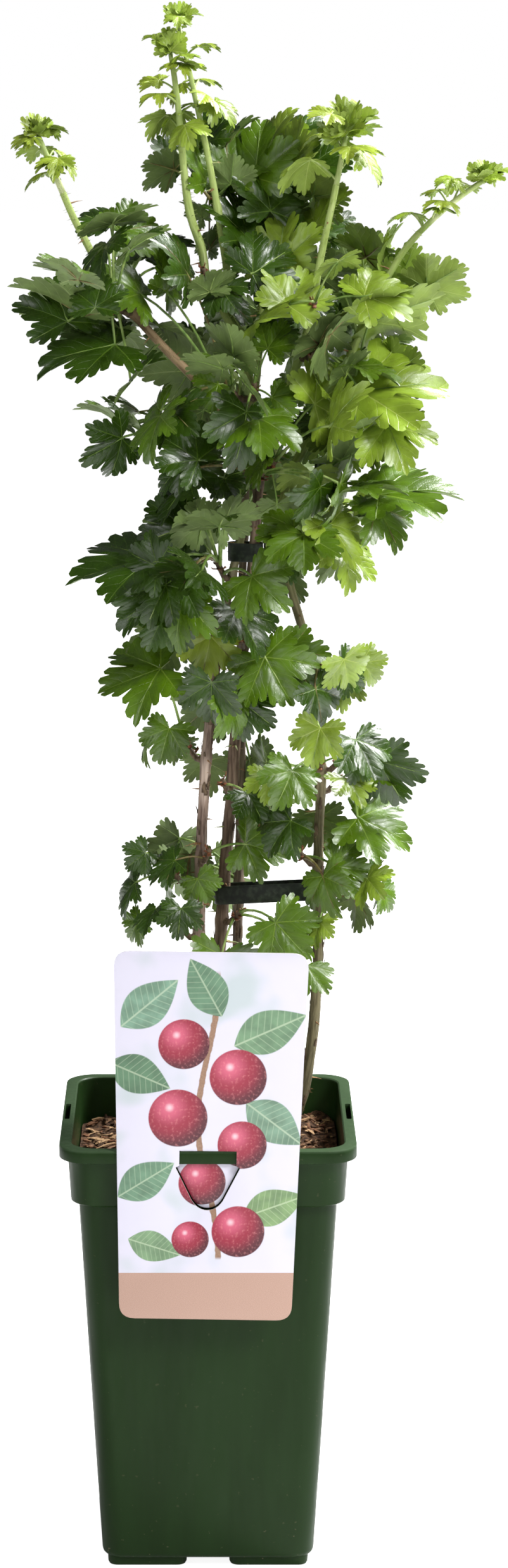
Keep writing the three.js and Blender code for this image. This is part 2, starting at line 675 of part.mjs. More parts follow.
// One try at a leaf of a mass: the first grows straight out, and the rest fan to either side in turn.
function massLeaf(mass, number, attempt) {
  const roll = dice(mass.seed, number, attempt);
  const loose = 1 + attempt / 10;
  const side = number === 0 ? 0 : number % 2 ? 1 : -1;
  const rank = Math.ceil(number / 2) / Math.ceil((mass.leaves - 1) / 2);
  const bearing = mass.bearing + side * rank * FAN + loose * roll(-15, 15);
  const root = mass.elbow.clone().lerp(mass.spurTip, mix(0.96, 0.2, number / (mass.leaves - 1)));
  const rise = ramp(PETIOLE_RISE, root.z) + loose * roll(-26, 30);
  const reach = mass.reach * (1 - 0.22 * rank) * roll(0.62, 1);
  const base = root.clone().addScaledVector(heading(bearing, rise), reach);
  const bend = root.clone().lerp(base, 0.5).addScaledVector(UP, 0.1 * reach);
  const length = mass.blade * (1 - 0.12 * rank) * roll(0.84, 1.08);
  const isUpright = roll(0, 1) < ramp(UPRIGHT_SHARE, base.z);
  const pitch = ramp(isUpright ? UPRIGHT : DROOPING, base.z) + roll(-16, 16);
  const turned = bearing + loose * roll(-22, 22);
  const leaf = { root, base, bend, length, fold: roll(0.08, 0.26), droop: roll(0.1, 0.3), outline: OUTLINE };
  return leafFrame(leaf, turned, pitch, roll(-18, 18));
}

const inSpace = (mass, leaf) => bladeRim(leaf, 1).every((p) => p.distanceTo(mass.centre) < mass.space);

// ---- Tips: the last stretch of a shoot, with small leaves in turn up it and a tuft of young ones ----
// name, shoot, small leaves, young leaves, first bearing, size, seed
const TIPS = [
  ["tip_left", "shoot_left", 4, 4, 145, 0.9, 70],
  ["tip_tall_left", "shoot_tall_left", 4, 4, 265, 0.91, 15],
  ["tip_tall_right", "shoot_tall_right", 6, 4, 169, 0.88, 73],
  ["tip_mid_right", "shoot_mid_right", 3, 4, 159, 1.28, 15],
  ["tip_far_right", "shoot_far_right", 4, 4, 126, 0.93, 81],
];
const GOLDEN_TURN = 137.5;

function tipOf([name, shoot, small, young, bearing, size, seed]) {
  const limb = LIMBS[shoot];
  const middles = [];
  const radii = [];
  for (const share of [0, 0.5, 1]) {
    const [middle, radius] = onLimb(shoot, mix(limb.end, limb.high, share));
    middles.push(middle);
    radii.push(radius);
  }
  const [, , ahead] = onLimb(shoot, limb.end);
  middles[0].addScaledVector(ahead, GAP + ROOM / 2);
  const stem = solidOf(tube(middles, radii, 4, ahead));
  return { name, shoot, small, young, bearing, size, seed, stem, leaves: small + young };
}

function tipLeaf(tip, number, attempt) {
  const roll = dice(tip.seed, number, attempt);
  const limb = LIMBS[tip.shoot];
  const isYoung = number >= tip.small;
  const share = isYoung ? 0.98 : mix(0.08, 0.84, number / (tip.small - 1));
  const [root] = onLimb(tip.shoot, mix(limb.end, limb.high, share));
  const turn = isYoung ? (360 * (number - tip.small)) / tip.young : GOLDEN_TURN * number;
  const bearing = tip.bearing + turn + roll(-18, 18);
  const rise = isYoung ? roll(40, 66) : roll(24, 48);
  const reach = tip.size * (isYoung ? roll(2.5, 4.5) : mix(15, 8, share) * roll(0.85, 1.1));
  const base = root.clone().addScaledVector(heading(bearing, rise), reach);
  const bend = root.clone().lerp(base, 0.5).addScaledVector(UP, 0.08 * reach);
  const length = tip.size * (isYoung ? roll(9, 12) : mix(20, 13, share) * roll(0.9, 1.1));
  const pitch = isYoung ? roll(10, 50) : roll(-26, 16);
  const fold = isYoung ? roll(0.3, 0.5) : roll(0.15, 0.35);
  const droop = isYoung ? roll(-0.15, 0.1) : roll(0.1, 0.3);
  const leaf = { root, base, bend, length, fold, droop, outline: YOUNG_OUTLINE };
  return leafFrame(leaf, bearing + roll(-20, 20), pitch, roll(-20, 20));
}

// ---- Assembly ----
const bush = new THREE.Group();
const placed = [];
const awaited = [];

// Whether a solid meets anything but its own mass: pieces in place, and the stems of masses to come.
function touches(solid, own) {
  const box = solid.boundingBox();
  return [...placed, ...awaited].some((other) => {
    if (other.name === own) return false;
    const apart = [0, 1, 2].some((k) => box.min[k] > other.box.max[k] || box.max[k] < other.box.min[k]);
    return !apart && !solid.intersect(other.solid).isEmpty();
  });
}

function place(name, solid, material) {
  placed.push({ name, solid, box: solid.boundingBox() });
  const mesh = new THREE.Mesh(geometryOf(solid), material);
  mesh.name = name;
  bush.add(mesh);
}

// Only the largest body of a fused mass is kept, so a scrap cut off by an edge goes.
function largest(solid) {
  const bodies = solid.decompose();
  return bodies.reduce((best, body) => (body.volume() > best.volume() ? body : best));
}

// A mass grows leaf by leaf. A leaf that leaves its space or touches anything is tried again, then skipped.
// Only the young leaves of a tip may touch each other.
function grow(mass, leafAt, fits) {
  let solid = mass.stem;
  let blades = null;
  for (let number = 0; number < mass.leaves; number++) {
    for (let attempt = 0; attempt < TRIES; attempt++) {
      const leaf = leafAt(mass, number, attempt);
      if (!fits(mass, leaf)) continue;
      const guard = bladeGuard(leaf);
      if (touches(guard, mass.name) || touches(petioleGuard(leaf), mass.name)) continue;
      const keepsApart = number < (mass.small ?? mass.leaves);
      if (blades && keepsApart && !guard.intersect(blades).isEmpty()) continue;
      const grown = leafSolid(leaf);
      blades = blades ? blades.add(grown) : grown;
      solid = solid.add(grown);
      break;
    }
  }
  return largest(solid);
}

// ---- Ties: flat loops that hold two stems together ----
function tieSolid(from, to, width, lean) {
  const half = from.distanceTo(to) / 2;
  const outline = (radius) => {
    const ring = new THREE.Shape();
    ring.absarc(half, 0, radius, -Math.PI / 2, Math.PI / 2, false);
    ring.absarc(-half, 0, radius, Math.PI / 2, (3 * Math.PI) / 2, false);
    ring.closePath();
    return ring;
  };
  const band = outline(width / 2);
  band.holes.push(new THREE.Path(outline(width / 2 - TIE_THICK).getPoints(TIE_STEPS).reverse()));
  const pull = { depth: TIE_HEIGHT, bevelEnabled: false, curveSegments: TIE_STEPS };
  const loop = new THREE.ExtrudeGeometry(band, pull);
  const bearing = Math.atan2(to.y - from.y, to.x - from.x);
  const middle = from.clone().lerp(to, 0.5);
  loop.translate(0, 0, -TIE_HEIGHT / 2).rotateY(-lean * DEG).rotateZ(bearing);
  return solidOf(loop.translate(middle.x, middle.y, middle.z));
}

function tieRound(oneStem, otherStem, { level, width, lean }) {
  const [from] = onLimb(oneStem, level);
  const [to] = onLimb(otherStem, level);
  return tieSolid(from, to, width, lean);
}

// ---- Putting it together ----
const finish = (color, roughness) => new THREE.MeshStandardMaterial({ color, roughness, metalness: 0 });
const BARK = { stem_left: 0x8a7566, stem_centre: 0x5f4c40, stem_right: 0x66544a, stem_back: 0x5a483d };
const SHOOT_GREEN = 0x9cc069;
const TIE_BLACK = 0x20261f;
const LEAF_GREEN = 0x4a8c34;
const CROWN_GREEN = 0x3c7a2a;
const YOUNG_GREEN = 0x9cc63c;

place("pot", potSolid(), finish(0x2f4a32, 0.45));
place("soil", soilSolid(), finish(0x5a3d28, 0.95));
place("label", labelSolid(), finish(0xe9e6f2, 0.4));
for (const [name, limb] of Object.entries(LIMBS)) {
  place(name, limbSolid(name, limb), finish(BARK[name] ?? SHOOT_GREEN, 0.6));
}
place("tie_lower", tieRound("stem_centre", "stem_right", LOWER_TIE), finish(TIE_BLACK, 0.5));
place("tie_upper", tieRound("stem_left", "stem_centre", UPPER_TIE), finish(TIE_BLACK, 0.5));

const masses = MASSES.map(massOf);
const tips = TIPS.map(tipOf);
for (const { name, stem } of [...masses, ...tips]) {
  awaited.push({ name, solid: stem, box: stem.boundingBox() });
}
for (const tip of tips) {
  place(tip.name, grow(tip, tipLeaf, () => true), finish(YOUNG_GREEN, 0.55));
}
for (const mass of masses) {
  const isHigh = mass.name.includes("high") || mass.name.includes("crown");
  place(mass.name, grow(mass, massLeaf, inSpace), finish(isHigh ? CROWN_GREEN : LEAF_GREEN, 0.5));
}

export default bush;
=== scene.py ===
"""A gooseberry bush in its square nursery pot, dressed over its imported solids, in metres.

The limbs and the masses of leaves grow here by the rule of the solids, worked out in
millimetres, and go on to finer leaves, leaf stalks, bud scales and spines.
"""

import json
import math

import bmesh
import bpy
import numpy as np
from mathutils import Matrix, Vector, noise
from mathutils.bvhtree import BVHTree
from mathutils.kdtree import KDTree

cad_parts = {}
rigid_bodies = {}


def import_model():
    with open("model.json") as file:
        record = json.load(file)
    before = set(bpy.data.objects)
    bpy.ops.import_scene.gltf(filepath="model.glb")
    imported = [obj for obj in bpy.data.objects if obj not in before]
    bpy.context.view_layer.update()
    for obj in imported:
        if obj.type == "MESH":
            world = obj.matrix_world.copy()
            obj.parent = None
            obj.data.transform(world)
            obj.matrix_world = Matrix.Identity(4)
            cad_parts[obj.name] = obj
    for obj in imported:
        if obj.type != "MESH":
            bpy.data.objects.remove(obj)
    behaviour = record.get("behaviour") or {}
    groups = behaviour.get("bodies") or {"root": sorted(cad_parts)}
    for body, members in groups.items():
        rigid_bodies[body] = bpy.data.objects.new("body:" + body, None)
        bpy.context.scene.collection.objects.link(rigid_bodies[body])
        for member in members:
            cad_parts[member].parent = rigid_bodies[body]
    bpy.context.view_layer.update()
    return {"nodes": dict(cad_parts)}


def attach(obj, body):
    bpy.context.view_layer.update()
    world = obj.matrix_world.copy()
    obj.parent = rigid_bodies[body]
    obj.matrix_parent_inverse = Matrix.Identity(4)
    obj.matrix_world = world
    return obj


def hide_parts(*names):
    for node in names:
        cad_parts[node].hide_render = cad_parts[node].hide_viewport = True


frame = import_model()

# ---- Driving dimensions, in millimetres ----
MM = 0.001
GAP = 0.3  # clear space between neighbouring pieces
ROOM = 0.2  # more space beside a limb

POT_HEIGHT = 228.4
RIM_WIDTH = 150
RIM_CORNER = 15
LIP_HEIGHT = 6.8
COLLAR_WIDTH = 141.2
COLLAR_FOOT_WIDTH = 138.6
COLLAR_HEIGHT = 23.6
BODY_WIDTH = 130.8
BASE_WIDTH = 109
BASE_CORNER = 11
WALL = 1.9
FOOT_HEIGHT = 5
FOOT_INSET = 3
FOOT_CHANNEL = 22
FOOT_CORNER = 5
CENTRE_PAD = 18
DRAIN = 8
SLOT_LENGTH = 29.2
SLOT_WIDTH = 2.7
SLOT_FLOOR = 0.8  # left under the slots of the two sides
LIP_STRIP = 1.1
LIP_FOOT = POT_HEIGHT - LIP_HEIGHT
COLLAR_FOOT = LIP_FOOT - COLLAR_HEIGHT
BODY_TOP = COLLAR_FOOT - 1.6
FLOOR = FOOT_HEIGHT + WALL
SLOT_MIDDLE = RIM_WIDTH / 2 - LIP_STRIP - SLOT_WIDTH / 2

SOIL_LEVEL = 205
SOIL_FLAT = 56  # radius of the level middle, where the stems stand
SOIL_RELIEF = 3

LABEL_TOP = 331
LABEL_BOTTOM = 141
LABEL_TOP_WIDTH = 96.5
LABEL_BOTTOM_WIDTH = 87
LABEL_CORNER = 8
LABEL_THICK = 0.8
LABEL_TILT = 0.93
LABEL_BAND = 165.5  # top of the kraft brown band
TONGUE_SHOULDER = 31.4
TONGUE_TIP = 198.5
CARD_BACK = -(RIM_WIDTH / 2 + GAP)

TIE_HEIGHT = 9.4
TIE_THICK = 0.8
TIES = {  # its two stems, height, width across, and lean in degrees
    "tie_lower": ("stem_centre", "stem_right", 345, 10.4, 5),
    "tie_upper": ("stem_left", "stem_centre", 520, 9.6, 0),
}

FLARE_REACH = 9
SHOOT_BEND = (3.2, 2.4)
GROUND = SOIL_LEVEL + GAP
TRIES = 30

# ---- Limbs: points, foot and tip radius, root flare, and what a shoot grows from ----
LIMBS = {
    "stem_left": {
        "points": [
            (-13, 3, GROUND), (-8, 0, 258), (-5, -2, 314), (-3, -3, 381),
            (1, -2, 437), (8, 1, 487), (17, 5, 530),
        ],
        "foot": 3.4, "tip": 2.1, "flare": 2.2,
    },
    "stem_centre": {
        "points": [
            (3, 6, GROUND), (4, 5, 270), (8, 4, 345), (12, 3, 397), (16, 3, 455),
            (23, 2, 520), (25, 1, 575), (17, 1, 622), (8, 2, 641), (-1, 3, 655),
        ],
        "foot": 3.5, "tip": 2.2, "flare": 2.4,
    },
    "stem_right": {
        "points": [
            (36, -4, GROUND), (50, -7, 245), (56, -6, 303), (56, -5, 360), (57, -3, 415),
            (53, 0, 460), (41, 4, 505), (36, 7, 535), (42, 8, 560),
        ],
        "foot": 3.0, "tip": 1.9, "flare": 2.0,
    },
    "stem_back": {
        "points": [
            (14, 19, GROUND), (15, 24, 300), (17, 27, 400), (17, 30, 480),
            (20, 33, 560), (26, 34, 620), (28, 34, 702),
        ],
        "foot": 2.8, "tip": 1.4, "flare": 1.8,
    },
    "shoot_left": {
        "parent": "stem_centre", "height": 572, "bearing": 200,
        "points": [
            (1, -4, 600), (-23, -7, 625), (-47, -8, 653), (-64, -7, 683),
            (-73, -6, 703), (-84, -4, 728),
        ],
        "foot": 2.2, "tip": 1.2, "end": 700,
    },
    "shoot_tall_left": {
        "parent": "stem_centre",
        "points": [(-3, 3, 671), (-10, 3, 695), (-15, 2, 744), (-18.5, 1, 769)],
        "foot": 2.0, "tip": 1.1, "end": 722,
    },
    "shoot_tall_right": {
        "parent": "stem_centre", "height": 612, "bearing": 60,
        "points": [(13, 9, 640), (8, 9, 671), (2, 8, 707), (-6.5, 7, 747), (-15, 6, 784)],
        "foot": 2.0, "tip": 0.9, "end": 728,
    },
    "shoot_mid_right": {
        "parent": "stem_centre", "height": 560, "bearing": -20,
        "points": [(36, -3, 590), (49, -5, 630), (56, -6, 669), (63, -6, 702), (68, -5, 728)],
        "foot": 2.2, "tip": 1.1, "end": 704,
    },
    "shoot_far_right": {
        "parent": "stem_right",
        "points": [
            (54, 8, 583), (67, 7, 607), (78, 6, 635), (97, 5, 670),
            (118, 4, 692), (137, 3, 706),
        ],
        "foot": 2.1, "tip": 1.1, "end": 680,
    },
}

# The masses on each limb: name, height of the spur, bearing, reach of the petioles, leaves,
# length of a blade, seed
MASSES = {
    "stem_left": (
        ("left_foot", 322, 216, 28, 4, 22, 79),
        ("left_low_front", 363, 289, 27, 3, 29, 56),
        ("left_low_side", 347, 182, 27, 5, 23, 66),
        ("left_mid_side", 414, 155, 24, 5, 23, 65),
        ("left_twig", 443, 263, 23, 4, 27, 68),
        ("left_bend", 482, 197, 30, 5, 33, 15),
        ("left_upper", 506, 227, 53, 6, 35, 75),
    ),
    "stem_centre": (
        ("centre_foot", 329, 311, 31, 4, 27, 86),
        ("centre_gap", 398, 245, 19, 3, 26, 42),
        ("centre_front", 452, 322, 27, 5, 31, 15),
        ("centre_mid", 472, 263, 25, 5, 33, 41),
        ("centre_high_front", 554, 278, 41, 5, 37, 37),
        ("centre_high_right", 559, 302, 48, 5, 30, 48),
        ("centre_high_left", 570, 153, 60, 6, 37, 30),
        ("centre_crown_left", 598, 206, 62, 6, 37, 39),
        ("centre_crown_front", 598, 279, 41, 5, 37, 93),
        ("centre_top", 654, 285, 35, 5, 34, 98),
    ),
    "stem_right": (
        ("right_foot", 300, 257, 16, 4, 29, 72),
        ("right_low_side", 341, -22, 30, 5, 23, 81),
        ("right_low_front", 361, 220, 24, 3, 33, 31),
        ("right_spur", 398, 32, 26, 5, 25, 64),
        ("right_inner", 410, 267, 39, 5, 27, 94),
        ("right_back", 403, 109, 41, 6, 32, 50),
        ("right_mid_side", 409, -5, 28, 5, 31, 75),
        ("right_upper_front", 458, 288, 18, 4, 25, 7),
        ("right_upper_side", 454, 18, 21, 6, 27, 36),
        ("right_high_side", 515, 377, 34, 6, 29, 48),
        ("right_crown", 532, -43, 47, 6, 31, 62),
    ),
    "stem_back": (
        ("back_low", 343, 100, 44, 6, 30, 42),
        ("back_mid", 425, 101, 31, 6, 30, 32),
        ("back_high", 523, 91, 48, 7, 36, 45),
        ("back_crown", 574, 93, 56, 7, 37, 7),
        ("back_shoulder", 632, 37, 60, 7, 39, 42),
        ("back_top", 686, 45, 30, 7, 33, 37),
    ),
    "shoot_left": (
        ("left_shoot_foot", 642, 244, 49, 6, 39, 91),
        ("left_shoot_mid", 644, 90, 38, 5, 34, 2),
    ),
    "shoot_mid_right": (
        ("mid_shoot_foot", 619, 309, 34, 5, 35, 62),
        ("mid_shoot_side", 640, 271, 36, 5, 34, 56),
    ),
    "shoot_far_right": (
        ("far_shoot_foot", 590, 330, 30, 5, 33, 63),
        ("far_shoot_mid", 635, 47, 27, 5, 31, 23),
    ),
    "shoot_tall_right": (
        ("tall_shoot", 691, 103, 33, 5, 27, 49),
    ),
}

# name, shoot, small leaves, young leaves, first bearing, size, seed
TIPS = [
    ("tip_left", "shoot_left", 4, 4, 145, 0.9, 70),
    ("tip_tall_left", "shoot_tall_left", 4, 4, 265, 0.91, 15),
    ("tip_tall_right", "shoot_tall_right", 6, 4, 169, 0.88, 73),
    ("tip_mid_right", "shoot_mid_right", 3, 4, 159, 1.28, 15),
    ("tip_far_right", "shoot_far_right", 4, 4, 126, 0.93, 81),
]

# Blades that reach out of their mass: foot, bearing, pitch, roll, length, tone
OUTER_LEAVES = {
    "left_upper": (
        ((-27, -16, 519), 184, -8, -14, 46, "deep"), ((-22, -8, 505), 208, -34, -16, 34, "deep"),
    ),
    "left_shoot_foot": (
        ((-62, -14, 640), 186, 36, 20, 40, "mid"), ((-46, -20, 626), 188, -6, -22, 40, "deep"),
    ),
    "right_high_side": (
        ((86, -6, 550), 6, 10, 14, 42, "mid"), ((84, -10, 545), -30, -52, 10, 27, "mid"),
    ),
    "far_shoot_foot": (((80, -8, 636), 4, 26, -30, 42, "bright"),),
    "mid_shoot_foot": (((76, -10, 602), -4, 12, 40, 44, "bright"),),
    "right_crown": (((66, -10, 568), 6, 32, -26, 46, "mid"),),
    "back_top": (
        ((10, 24, 709), 98, 78, 14, 30, "mid"), ((24, 20, 706), 80, 82, -20, 31, "mid"),
        ((41, 24, 709), 62, 76, -32, 30, "bright"), ((31, 14, 690), 104, 66, 22, 28, "deep"),
    ),
    "back_shoulder": (
        ((54, 16, 683), 48, 58, -24, 28, "bright"), ((36, 8, 664), 84, 74, -24, 30, "bright"),
        ((20, 12, 676), 112, 62, 26, 30, "deep"),
    ),
    "tall_shoot": (((-1, 17, 704), 118, 72, 34, 27, "mid"),),
    "left_mid_side": (((-24, -10, 462), 184, -16, -34, 34, "mid"),),
    "right_mid_side": (((76, -10, 385), -8, -18, 36, 31, "mid"),),
}

# ---- The growth rule, with angles in degrees and pairs of height and value ----
PETIOLE_RISE = ((340, 8), (520, 14), (600, 24), (680, 44))
DROOPING = ((340, -48), (520, -44), (700, -34))
UPRIGHT = ((340, 20), (560, 38), (700, 58))
UPRIGHT_SHARE = ((480, 0), (560, 0.3), (640, 0.55), (700, 0.85))
FACING = 46  # how far a blade rolls to face the nearer side, front or back
CROWN_MIDDLE = 9
SPUR_RISE = 36  # from square to its limb
SPUR_ELBOW = 2.2
SPUR_LENGTH = 8
SPUR_SHARE = 0.16
FAN = 78  # from a mass's own bearing to its outermost leaf
GOLDEN_TURN = 137.5

DEG = math.pi / 180
UP = np.array([0.0, 0.0, 1.0])
WORD = 0xFFFFFFFF


def mix(a, b, t):
    """The value at share t of the way from a to b."""
    return a + (b - a) * t


def clamp(t):
    """A share kept between 0 and 1."""
    return min(1.0, max(0.0, t))


def unit(v):
    """A vector at length 1."""
    return v / np.linalg.norm(v)


def square_to(way, axis):
    """The direction nearest to a given one that stands square to an axis."""
    return unit(way - axis * way.dot(axis))


def swung(way, other, angle):
    """A direction turned by an angle in degrees towards another."""
    return way * math.cos(angle * DEG) + other * math.sin(angle * DEG)


def heading(bearing, rise):
    """A direction from its bearing (0 is +X, 90 is the back) and its rise above level."""
    level = math.cos(rise * DEG)
    return np.array([
        level * math.cos(bearing * DEG), level * math.sin(bearing * DEG), math.sin(rise * DEG)
    ])


def ramp(pairs, height):
    """A value read off a short list of (height, value) pairs."""
    return float(np.interp(height, [p[0] for p in pairs], [p[1] for p in pairs]))


def dice(seed, leaf, attempt):
    """Seeded random numbers, a stream of its own for each mass, leaf and try."""
    state = (seed * 7919 + leaf * 104729 + attempt * 1299709) & WORD

    def roll(low, high):
        nonlocal state
        state = (state + 0x6D2B79F5) & WORD
        t = ((state ^ (state >> 15)) * (state | 1)) & WORD
        t ^= (t + (t ^ (t >> 7)) * (t | 61)) & WORD
        return low + (high - low) * (t ^ (t >> 14)) / 4294967296

    return roll


def along(points, t):
    """A point at share t of a smooth course through points."""
    last = len(points) - 1
    part = min(int(t * last), last - 1)
    weight = t * last - part
    one, two = points[part], points[part + 1]
    before = points[part - 1] if part else 2 * one - two
    after = points[part + 2] if part + 2 <= last else 2 * two - one
    leave, arrive = 0.5 * (two - before), 0.5 * (after - one)
    square, cube = (3 * (two - one) - 2 * leave - arrive), (2 * (one - two) + leave + arrive)
    return one + weight * (leave + weight * (square + weight * cube))


def course(points, t):
    """The direction of a smooth course at share t."""
    low, high = max(0.0, t - 0.0001), min(1.0, t + 0.0001)
    return unit(along(points, high) - along(points, low))


def limb_radius(limb, height):
    """A limb's radius at a height, with its taper and root flare."""
    share = clamp((height - limb["low"]) / (limb["high"] - limb["low"]))
    flare = limb.get("flare", 0) * math.exp(-(height - limb["low"]) / FLARE_REACH)
    return mix(limb["foot"], limb["tip"], share) + flare


HALVINGS = 40  # enough to find a height on a limb exactly


def on_limb(name, height):
    """The middle of a limb at a height, its radius and its direction there."""
    limb = LIMBS[name]
    low, high = 0.0, 1.0
    for _ in range(HALVINGS):
        t = (low + high) / 2
        if along(limb["course"], t)[2] < height:
            low = t
        else:
            high = t
    return along(limb["course"], low), limb_radius(limb, height), course(limb["course"], low)


def lay_out_limbs():
    """Gives each limb its course, from the ground or from its parent."""
    for limb in LIMBS.values():
        points = [np.array(p, float) for p in limb["points"]]
        parent = limb.get("parent")
        if parent and "bearing" not in limb:
            start = course(LIMBS[parent]["course"], 1)
            points.insert(0, along(LIMBS[parent]["course"], 1) + start * (GAP + ROOM / 4))
        elif parent:
            foot, radius, _ = on_limb(parent, limb["height"])
            out = heading(limb["bearing"], 0)
            points.insert(0, foot + out * (radius + SHOOT_BEND[0]) + UP * SHOOT_BEND[1])
            points.insert(0, foot + out * (radius + GAP + ROOM))
        limb["course"] = points
        limb["low"], limb["high"] = points[0][2], points[-1][2]


OUTLINE = ((0, 1), (23, 0.66), (42, 0.94), (58, 0.86), (74, 0.54), (95, 0.78), (130, 0.58))
YOUNG_OUTLINE = ((0, 1), (25, 0.72), (49, 0.9), (96, 0.62))


def leaf_frame(leaf, bearing, pitch, jitter, facing=FACING):
    """The leaf with its midrib, side and upper face, rolled to face out of the crown."""
    rib, face = heading(bearing, pitch), heading(bearing, pitch + 90)
    side = np.cross(face, rib)
    nearer = -1 if leaf["base"][1] < CROWN_MIDDLE else 1
    turn = jitter - facing * side[1] * nearer
    return leaf | {"rib": rib, "across": swung(side, face, turn), "upper": swung(face, -side, turn)}


def blade_rim(leaf):
    """The corners of a leaf's plain outline."""
    turns, reaches = np.array(leaf["outline"], float).T
    turns = np.concatenate([-turns[:0:-1], turns]) * DEG
    reaches = np.concatenate([reaches[:0:-1], reaches])
    return blade_places(leaf, turns, reaches)


def blade_places(leaf, turns, reaches, lift=0.0):
    """Places on a blade, folded along its midrib and drooping to its edge."""
    fold, droop, length = leaf["fold"], leaf["droop"], leaf["length"]
    rise = length * (fold * np.abs(np.sin(turns)) * reaches - droop * reaches**2) + lift
    return (
        leaf["base"]
        + np.outer(length * reaches * np.cos(turns), leaf["rib"])
        + np.outer(length * reaches * np.sin(turns), leaf["across"])
        + np.outer(rise, leaf["upper"])
    )


def mass_of(limb, row):
    """A mass before its leaves: the spur it grows from, and the space it keeps to."""
    name, height, bearing, reach, leaves, blade, seed = row
    middle, radius, ahead = on_limb(limb, height)
    out = square_to(heading(bearing, 0), ahead)
    foot = middle + out * (radius + GAP + ROOM)
    return {
        "name": name, "node": "leaves_" + name, "limb": limb, "bearing": bearing, "reach": reach,
        "leaves": leaves, "blade": blade, "seed": seed, "middle": middle, "foot": foot,
        "elbow": foot + out * SPUR_ELBOW,
        "spur_tip": foot + swung(out, ahead, SPUR_RISE) * (SPUR_LENGTH + SPUR_SHARE * reach),
        "centre": foot + heading(bearing, 8) * 0.75 * reach,
        "space": 0.75 * reach + 1.25 * blade,
    }


def arch(root, base, rise):
    """The middle of a leaf's stalk, which stands a little over the straight line."""
    return mix(root, base, 0.5) + UP * rise


def stalked(root, base, rise, length, outline, fold, droop):
    """A leaf on its arched stalk, before it is turned."""
    leaf = {"root": root, "base": base, "bend": arch(root, base, rise), "length": length}
    return leaf | {"outline": outline, "fold": fold, "droop": droop}


def mass_leaf(mass, number, attempt):
    """One try at a leaf of a mass: the first grows straight out, and the rest fan to either side."""
    roll = dice(mass["seed"], number, attempt)
    loose = 1 + attempt / 10
    side = 0 if number == 0 else 1 if number % 2 else -1
    rank = math.ceil(number / 2) / math.ceil((mass["leaves"] - 1) / 2)
    bearing = mass["bearing"] + side * rank * FAN + loose * roll(-15, 15)
    share = mix(0.96, 0.2, number / (mass["leaves"] - 1))
    root = mix(mass["elbow"], mass["spur_tip"], share)
    rise = ramp(PETIOLE_RISE, root[2]) + loose * roll(-26, 30)
    reach = mass["reach"] * (1 - 0.22 * rank) * roll(0.62, 1)
    base = root + heading(bearing, rise) * reach
    length = mass["blade"] * (1 - 0.12 * rank) * roll(0.84, 1.08)
    is_upright = roll(0, 1) < ramp(UPRIGHT_SHARE, base[2])
    pitch = ramp(UPRIGHT if is_upright else DROOPING, base[2]) + roll(-16, 16)
    turned = bearing + loose * roll(-22, 22)
    fold, droop = roll(0.08, 0.26), roll(0.1, 0.3)
    leaf = stalked(root, base, 0.1 * reach, length, OUTLINE, fold, droop)
    return leaf_frame(leaf, turned, pitch, roll(-18, 18))


def tip_leaf(tip, number, attempt):
    """One try at a leaf of a shoot's tip: small ones in turn up it, then a tuft of young ones."""
    _, shoot, small, young, first, size, seed = tip
    roll = dice(seed, number, attempt)
    limb = LIMBS[shoot]
    is_young = number >= small
    share = 0.98 if is_young else mix(0.08, 0.84, number / (small - 1))
    root = on_limb(shoot, mix(limb["end"], limb["high"], share))[0]
    turn = 360 * (number - small) / young if is_young else GOLDEN_TURN * number
    bearing = first + turn + roll(-18, 18)
    rise = roll(40, 66) if is_young else roll(24, 48)
    reach = size * (roll(2.5, 4.5) if is_young else mix(15, 8, share) * roll(0.85, 1.1))
    base = root + heading(bearing, rise) * reach
    length = size * (roll(9, 12) if is_young else mix(20, 13, share) * roll(0.9, 1.1))
    pitch = roll(10, 50) if is_young else roll(-26, 16)
    fold = roll(0.3, 0.5) if is_young else roll(0.15, 0.35)
    droop = roll(-0.15, 0.1) if is_young else roll(0.1, 0.3)
    leaf = stalked(root, base, 0.08 * reach, length, YOUNG_OUTLINE, fold, droop)
    return leaf_frame(leaf, bearing + roll(-20, 20), pitch, roll(-20, 20))


corner_trees = {}
CORNER_REACH = 2e-5  # metres within which a corner counts as found
CORNER_SHARE = 0.6


def nearest_of(places):
    """A search tree over a list of places."""
    tree = KDTree(len(places))
    for i, place in enumerate(places):
        tree.insert(Vector(place), i)
    tree.balance()
    return tree


def standing_leaf(node, tries):
    """The first of a leaf's tries that stands in its solid, or None where the leaf was skipped."""
    if node not in corner_trees:
        corner_trees[node] = nearest_of([v.co for v in frame["nodes"][node].data.vertices])
    for leaf in tries:
        rim = blade_rim(leaf)
        found = sum(corner_trees[node].find(Vector(p * MM))[2] < CORNER_REACH for p in rim)
        if found >= CORNER_SHARE * len(rim):
            return leaf
    return None


# ---- Meshes and objects ----
def in_scene(name, data):
    """A new object in the scene."""
    made = bpy.data.objects.new(name, data)
    bpy.context.scene.collection.objects.link(made)
    return made


def baked(made):
    """The mesh that an object comes to with its settings, after which the object goes."""
    bpy.context.view_layer.update()
    graph = bpy.context.evaluated_depsgraph_get()
    mesh = bpy.data.meshes.new_from_object(made.evaluated_get(graph))
    bpy.data.objects.remove(made)
    return mesh


def smooth(mesh):
    """Makes all faces smooth."""
    mesh.polygons.foreach_set("use_smooth", np.ones(len(mesh.polygons), bool))


